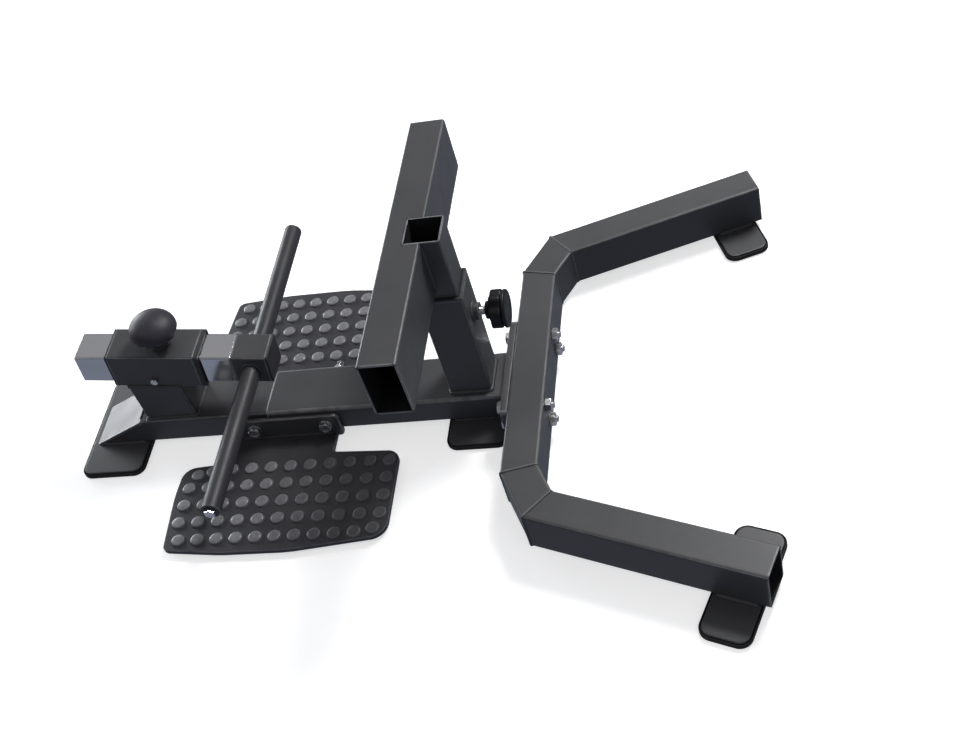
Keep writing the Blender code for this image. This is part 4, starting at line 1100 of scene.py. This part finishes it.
# ================================================================= slide, block and roller bar
slide = tube(SLIDE_SIDE, SLIDE_SIDE, SLIDE_WALL, 0.003, SLIDE_U1 - SLIDE_U0, 0.0005)
piece("slide_tube_look", slide, on_slider((SLIDE_U0 + SLIDE_U1) / 2) @ ALONG_U, "front_slide", "chrome_plate", replaces=["slide_tube"],
      section=(SLIDE_SIDE, SLIDE_SIDE, 0.003, SLIDE_WALL))

block_u0 = SLIDE_U1 + GAP
block_place = on_slider((block_u0 + BLOCK_U1) / 2) @ ALONG_U
BAR_AXIS = on_slider(BAR_U) @ Matrix.Rotation(math.radians(-90), 4, "X")
bar_block = carve(tube(SLIDE_SIDE, SLIDE_SIDE, 0.003, 0.0038, BLOCK_U1 - block_u0),
                  (bar(BAR_R + GAP, -0.04, 0.04, 48), block_place.inverted() @ BAR_AXIS))
piece("bar_block_look", bar_block, block_place, "front_slide", "frame_paint", replaces=["bar_block"],
      section=(SLIDE_SIDE, SLIDE_SIDE, 0.0038, 0.003))


def square_ring(width, radius, z):
    return at(rounded(width, width, radius), z)


cap = loft([square_ring(0.0380, 0.0010, -0.009), square_ring(0.0424, 0.0016, -0.009), square_ring(0.0434, 0.0020, -0.0080),
            square_ring(0.0434, 0.0020, 0.0), square_ring(0.0494, 0.0029, 0.0), square_ring(0.0500, 0.0032, 0.0004),
            square_ring(0.0500, 0.0032, 0.0016), square_ring(0.0496, 0.0030, 0.0024), square_ring(0.0484, 0.0027, 0.0029),
            square_ring(0.0464, 0.0024, 0.0030), square_ring(0.0400, 0.0020, 0.0030)])
piece("bar_block_cap_look", cap, on_slider(BLOCK_U1 + GAP) @ ALONG_U, "front_slide", "liner_plastic", replaces=["bar_block_cap"])

END = 0.025
profile = softened(
    [(BAR_R, BAR_HALF), (BAR_R, -BAR_HALF), (END_BOLT_R + GAP, -BAR_HALF), (END_BOLT_R + GAP, -BAR_HALF + END),
     (BAR_BORE, -BAR_HALF + END + 0.004), (BAR_BORE, BAR_HALF - END - 0.004), (END_BOLT_R + GAP, BAR_HALF - END),
     (END_BOLT_R + GAP, BAR_HALF)], 0.0011, closed=True)
piece("roller_bar_look", turned(profile, 64, loop=True), BAR_AXIS, "front_slide", "frame_paint", finish=BAR_PAINT_SHADED,
      replaces=["roller_bar"])
for side, turn, spin in (("left", 0.0, 0.4), ("right", math.pi, 1.1)):
    face = BAR_AXIS @ Matrix.Rotation(turn, 4, "X") @ Matrix.Translation((0, 0, BAR_HALF + GAP)) @ Matrix.Rotation(spin, 4, "Z")
    piece("bar_bolt_" + side + "_look", bolt_shape(0.022, END_BOLT_R, END_BOLT_AF, END_BOLT_H, 0.018, 0.00125), face, "front_slide",
          "zinc_steel", replaces=["bar_bolt_" + side])
    ring = BAR_AXIS @ Matrix.Rotation(turn, 4, "X") @ Matrix.Translation((0, 0, SLIDE_SIDE / 2 + 0.0003))
    bead("weld_roller_bar_" + side, around(circle(BAR_R + 0.0003, 40), ring), 0.0052, 0.0025, closed=True, body="front_slide", seed=60 + int(turn))

# ================================================================= clamps


def boss(name, place, length):
    profile = softened([(BOSS_R, 0.0), (BOSS_R, length), (STUD_BORE, length), (STUD_BORE, 0.0)], 0.0008, closed=True)
    piece(name + "_look", turned(profile, 56, loop=True), place, "frame", "frame_paint", replaces=[name])
    bead("weld_" + name, around(circle(BOSS_R + 0.0003, 40), place @ Matrix.Translation((0, 0, 0.0002))), 0.0050, 0.0024, closed=True, seed=70)


def stud(name, low, high, body, place):
    rings = thread_rings(STUD_R, low + 0.0008, high - 0.0006, 0.00175, 40, fade_low=False)
    rings.insert(0, at(circle(STUD_R - 0.0012, 40), low))
    rings.append(at(circle(STUD_R - 0.0008, 40), high))
    piece(name + "_look", loft(rings), place, body, "zinc_steel", replaces=[name])


FRONT_CLAMP = on_slider(FRONT_CLAMP_U)
boss("front_clamp_boss", FRONT_CLAMP @ Matrix.Translation((0, 0, SLEEVE_SIDE / 2 + GAP)), 0.010)
stud("front_clamp_stud", SLIDE_SIDE / 2 + GAP, 0.064, "front_clamp", FRONT_CLAMP)

KNOB_LOW, KNOB_R = 0.0495, 0.0342


def front_knob():
    """Mushroom knob: a smooth dome over a skirt with finger scallops."""
    low, count, lobes = KNOB_LOW, 120, 10
    levels = [(0.0, low + 0.0335, 0.0)]
    for i in range(1, 17):                                   # dome, from the top down to its widest line
        a = math.radians(90 * i / 16)
        levels.append((KNOB_R * math.sin(a) ** 0.93, low + 0.0100 + 0.0235 * math.cos(a), 0.0))
    levels += [(KNOB_R, low + 0.0093, 0.0), (KNOB_R - 0.0003, low + 0.0086, 0.15), (KNOB_R - 0.0008, low + 0.0080, 0.5),
               (KNOB_R - 0.0012, low + 0.0074, 0.85), (KNOB_R - 0.0015, low + 0.0064, 1.0), (KNOB_R - 0.0028, low + 0.0028, 1.0),
               (KNOB_R - 0.0036, low + 0.0009, 1.0), (KNOB_R - 0.0046, low + 0.0001, 0.9), (KNOB_R - 0.0058, low - 0.0004, 0.7),
               (0.0268, low - 0.0005, 0.4), (0.0256, low - 0.0001, 0.1), (0.0250, low + 0.0008, 0.0), (0.0248, low + 0.0042, 0.0),
               (0.0240, low + 0.0050, 0.0), (0.0135, low + 0.0050, 0.0), (0.0124, low + 0.0044, 0.0), (0.0120, low + 0.0035, 0.0),
               (0.0114, low + 0.0002, 0.0), (0.0108, low - 0.0005, 0.0), (STUD_BORE + 0.0006, low - 0.0006, 0.0),
               (STUD_BORE, low, 0.0), (STUD_BORE, 0.0639, 0.0), (STUD_BORE - 0.0006, 0.0643, 0.0), (0.0, 0.0643, 0.0)]
    rings = []
    for r, z, cut in levels:
        if r == 0:
            rings.append([(0.0, 0.0, z)])
            continue
        ring = []
        for i in range(count):
            a = 2 * math.pi * i / count
            scoop = (0.5 + 0.5 * math.cos(lobes * a)) ** 1.6
            radius = r - 0.0032 * cut * scoop
            ring.append((radius * math.cos(a), radius * math.sin(a), z))
        rings.append(ring)
    return loft(rings)


piece("front_knob_look", front_knob(), FRONT_CLAMP, "front_clamp_knob", "knob_plastic", replaces=["front_knob"])

REAR_CLAMP = axis_place((POST_X, 0, REAR_CLAMP_Z), (1, 0, 0), (0, 1, 0))
boss("rear_clamp_boss", REAR_CLAMP @ Matrix.Translation((0, 0, POST_SIDE / 2 + GAP)), 0.009)
stud("rear_clamp_stud", HEIGHT_SIDE / 2 + GAP, 0.066, "rear_clamp", REAR_CLAMP)


def rear_knob():
    """Lobed knob on a round hub, with a plain disc set into its outer face."""
    tip, depth, lobes, count = 0.0268, 0.0036, 7, 112
    levels = [(STUD_BORE, 0.0486, 0), (STUD_BORE + 0.0006, 0.0480, 0), (0.0112, 0.0480, 0), (0.0118, 0.0483, 0), (0.0120, 0.0490, 0),
              (0.0121, 0.0536, 0), (0.0126, 0.0548, 0), (0.0138, 0.0554, 0), (0.0160, 0.0555, 0.2), (0.0236, 0.0556, 0.8),
              (0.0252, 0.0559, 0.95), (0.0262, 0.0566, 1.0), (0.0267, 0.0576, 1.0), (tip, 0.0590, 1.0), (tip, 0.0690, 1.0),
              (0.0267, 0.0702, 1.0), (0.0262, 0.0710, 1.0), (0.0252, 0.0717, 0.95), (0.0246, 0.0720, 0.8), (0.0240, 0.0721, 0.4),
              (0.0234, 0.0723, 0.0), (0.0232, 0.0728, 0.0), (0.0240, 0.0733, 0.0), (0.0254, 0.0735, 0.0), (0.0260, 0.0739, 0.0),
              (0.0262, 0.0747, 0.0), (0.0261, 0.0760, 0.0), (0.0256, 0.0770, 0.0), (0.0246, 0.0777, 0.0), (0.0228, 0.0780, 0.0),
              (0.0200, 0.0779, 0.0), (0.0192, 0.0776, 0.0), (0.0184, 0.0774, 0.0), (0.0080, 0.0775, 0.0), (0.0, 0.0775, 0.0)]
    levels = [(0.0, 0.0663, 0.0), (STUD_BORE - 0.0006, 0.0663, 0.0), (STUD_BORE, 0.0659, 0.0)] + levels
    rings = []
    for r, z, lobed in levels:
        if r == 0:
            rings.append([(0.0, 0.0, z)])
            continue
        ring = []
        for i in range(count):
            a = 2 * math.pi * i / count
            radius = r - lobed * depth / 2 * (1 - math.cos(lobes * a))
            ring.append((radius * math.cos(a), radius * math.sin(a), z))
        rings.append(ring)
    return loft(rings)


piece("rear_knob_look", rear_knob(), REAR_CLAMP, "rear_clamp_knob", "knob_plastic", finish=KNOB_BLACK, replaces=["rear_knob"])

# ================================================================= rear post and calf support
rear_post_low = saddle_top + GAP
rear_post_place = along_z(POST_X, 0, (POST_TOP + rear_post_low) / 2)
rear_post = carve(tube(POST_SIDE, POST_SIDE, POST_WALL, 0.0035, POST_TOP - rear_post_low),
                  (bar(STUD_BORE, 0.020, 0.045), rear_post_place.inverted() @ REAR_CLAMP))
piece("rear_post_look", rear_post, rear_post_place, "frame", "frame_paint", replaces=["rear_post"],
      section=(POST_SIDE, POST_SIDE, 0.0035, POST_WALL))
bead("weld_rear_post_foot", around(rounded(POST_SIDE + 0.0006, POST_SIDE + 0.0006, 0.0043, 8), along_z(POST_X, 0, saddle_top + 0.0004)),
     0.0066, 0.0031, closed=True, seed=80)
liner("post_liner", along_z(POST_X, 0, POST_TOP + GAP), POST_LINER_RIM)

height = tube(HEIGHT_SIDE, HEIGHT_SIDE, HEIGHT_WALL, 0.003, HEIGHT_TOP - HEIGHT_BOTTOM, 0.0005)
piece("height_tube_look", height, along_z(POST_X, 0, (HEIGHT_TOP + HEIGHT_BOTTOM) / 2), "calf_support", "frame_paint",
      replaces=["height_tube"], section=(HEIGHT_SIDE, HEIGHT_SIDE, 0.003, HEIGHT_WALL))

calf_place = along_y(CALF_X, 0, HEIGHT_TOP - CALF_H / 2)
notch = POST_X - HEIGHT_SIDE / 2 - GAP
calf = carve(
    tube(CALF_H, CALF_W, CALF_WALL, 0.0035, 2 * CALF_HALF, 0.0005),
    (block((notch, -HEIGHT_SIDE / 2 - GAP, HEIGHT_TOP - CALF_H - 0.01), (CALF_X + CALF_W, HEIGHT_SIDE / 2 + GAP, HEIGHT_TOP + 0.01)),
     calf_place.inverted()))
piece("calf_crossbar_look", calf, calf_place, "calf_support", "frame_paint", replaces=["calf_crossbar"],
      section=(CALF_H, CALF_W, 0.0035, CALF_WALL))
for label, way in (("left", 1), ("right", -1)):
    path = [((CALF_X + CALF_W / 2 + 0.0003, way * (HEIGHT_SIDE / 2 + 0.0003), z), (1, way, 0))
            for z in (HEIGHT_TOP - CALF_H + 0.004, HEIGHT_TOP - 0.004)]
    bead("weld_calf_side_" + label, path, 0.0046, 0.0021, body="calf_support", seed=90 + way)
low = HEIGHT_TOP - CALF_H
corner = [(CALF_X + CALF_W / 2 - 0.003, HEIGHT_SIDE / 2), (notch + 0.003, HEIGHT_SIDE / 2), (notch, HEIGHT_SIDE / 2 - 0.003),
          (notch, -HEIGHT_SIDE / 2 + 0.003), (notch + 0.003, -HEIGHT_SIDE / 2), (CALF_X + CALF_W / 2 - 0.003, -HEIGHT_SIDE / 2)]
normals = [(0, 1, -1), (-0.3, 1, -1), (-1, 0.3, -1), (-1, -0.3, -1), (-0.3, -1, -1), (0, -1, -1)]
bead("weld_calf_under", [((x, y, low - 0.0003), n) for (x, y), n in zip(corner, normals)], 0.0056, 0.0026, body="calf_support", seed=95)

# ================================================================= end plate and rear frame
REAR_MID = FLOOR_Z + REAR_H / 2
REAR_SECTION = (REAR_W, REAR_H, REAR_R, REAR_WALL)
B, C, E = (Vector((*p, 0)) for p in (REAR_B, REAR_C, REAR_E))


def rear_tube(start, end, mitre0, mitre1):
    along = (end - start).normalized()
    left = Vector((0, 0, 1)).cross(along)
    shape = tube(REAR_W, REAR_H, REAR_WALL, REAR_R, (end - start).length)
    shear_end(shape, 1, slope_x=math.tan(mitre1))
    shear_end(shape, -1, slope_x=-math.tan(mitre0))
    return shape, axis_place((start + end) / 2 + Vector((0, 0, REAR_MID)), along, left)


def mitre_bead(name, joint, before, after, seed):
    """Low ground weld all round a mitre between two directions of travel."""
    middle = (before + after).normalized()
    left = Vector((0, 0, 1)).cross(middle)
    stretch = 1 / middle.dot(before)
    made = []
    for (x, y) in rounded(REAR_W, REAR_H, REAR_R, 8):
        made.append((x * stretch, y))
    place = axis_place(joint + Vector((0, 0, REAR_MID)), middle, left)
    # crest: a painted highlight line along the ground mitre weld
    bead(name, around(made, place, 0.0), 0.0040, 0.0015, closed=True, seed=seed, pitch=0.0030, ripple=0.14, crest=0.9)


def angle_of(v):
    return math.atan2(v.y, v.x)


half_bc = (math.radians(90) - angle_of(C - B)) / 2
half_ce = (angle_of(C - B) - angle_of(E - C)) / 2
g = GAP / 2
for side, sign in (("left", 1), ("right", -1)):
    b, c, e = (Vector((p.x, sign * p.y, 0)) for p in (B, C, E))
    bc, ce = (c - b).normalized(), (e - c).normalized()
    shape, place = rear_tube(b + bc * g, c - bc * g, sign * half_bc, sign * half_ce)
    piece("rear_corner_" + side + "_look", shape, place, "frame", "frame_paint", replaces=["rear_corner_" + side],
          section=REAR_SECTION)
    shape, place = rear_tube(c + ce * g, e, sign * half_ce, 0.0)
    piece("rear_arm_" + side + "_look", shape, place, "frame", "frame_paint", replaces=["rear_arm_" + side],
          section=REAR_SECTION)
    mitre_bead(f"weld_mitre_inner_{side}", b, Vector((0, sign, 0)), bc, 100 + sign)
    mitre_bead(f"weld_mitre_outer_{side}", c, bc, ce, 104 + sign)

crossbar, crossbar_place = rear_tube(Vector((B.x, -B.y + g, 0)), Vector((B.x, B.y - g, 0)), half_bc, half_bc)
end_place = along_x(END_PLATE_X0, 0, REAR_MID)
spots = [(y, z) for y in JOINT_BOLT_Y for z in JOINT_BOLT_Z]
crossbar = carve(crossbar, *[(bar(BOLT_HOLE, -0.02, 0.10), crossbar_place.inverted() @ along_x(END_PLATE_X0, y, z)) for y, z in spots])
piece("rear_crossbar_look", crossbar, crossbar_place, "frame", "frame_paint", replaces=["rear_crossbar"], section=REAR_SECTION)
end_plate = slab(rounded(2 * END_PLATE_HALF, REAR_H, 0.004, 6), 0.0, END_PLATE_T, 0.0009)
end_plate = carve(end_plate, *[(bar(BOLT_HOLE, -0.02, 0.03), along_z(y, z - REAR_MID, 0)) for y, z in spots])
piece("beam_end_plate_look", end_plate, end_place, "frame", "frame_paint", replaces=["beam_end_plate"])
path = [((END_PLATE_X0 - 0.0004, y, z), (-1, ny, nz)) for y, z, ny, nz in (
    (-half_out - 0.0003, SADDLE_LOW + 0.003, -1, 0), (-half_out - 0.0003, saddle_top - 0.005, -1, 0),
    (-half_out + 0.0035, saddle_top + 0.0003, -0.3, 1), (half_out - 0.0035, saddle_top + 0.0003, 0.3, 1),
    (half_out + 0.0003, saddle_top - 0.005, 1, 0), (half_out + 0.0003, SADDLE_LOW + 0.003, 1, 0))]
bead("weld_end_plate", path, 0.0062, 0.0029, seed=110)
rear_face = REAR_X + REAR_W / 2 + GAP
for number, (y, z) in enumerate(spots, 1):
    spin = Matrix.Rotation(0.35 * number, 4, "Z")
    piece(f"joint_bolt_{number}_look", bolt_shape(rear_face - END_PLATE_X0 + NUT_H + 0.004, BOLT_R, HEX_AF, HEX_H, 0.022, 0.0015),
          axis_place((END_PLATE_X0 - GAP, y, z), (-1, 0, 0), (0, 1, 0)) @ spin, "frame", "zinc_steel", replaces=[f"joint_bolt_{number}"])
    piece(f"joint_nut_{number}_look", nut_shape(BOLT_R, HEX_AF, NUT_H), axis_place((rear_face, y, z), (1, 0, 0), (0, 1, 0)) @ spin,
          "frame", "zinc_steel", replaces=[f"joint_nut_{number}"])
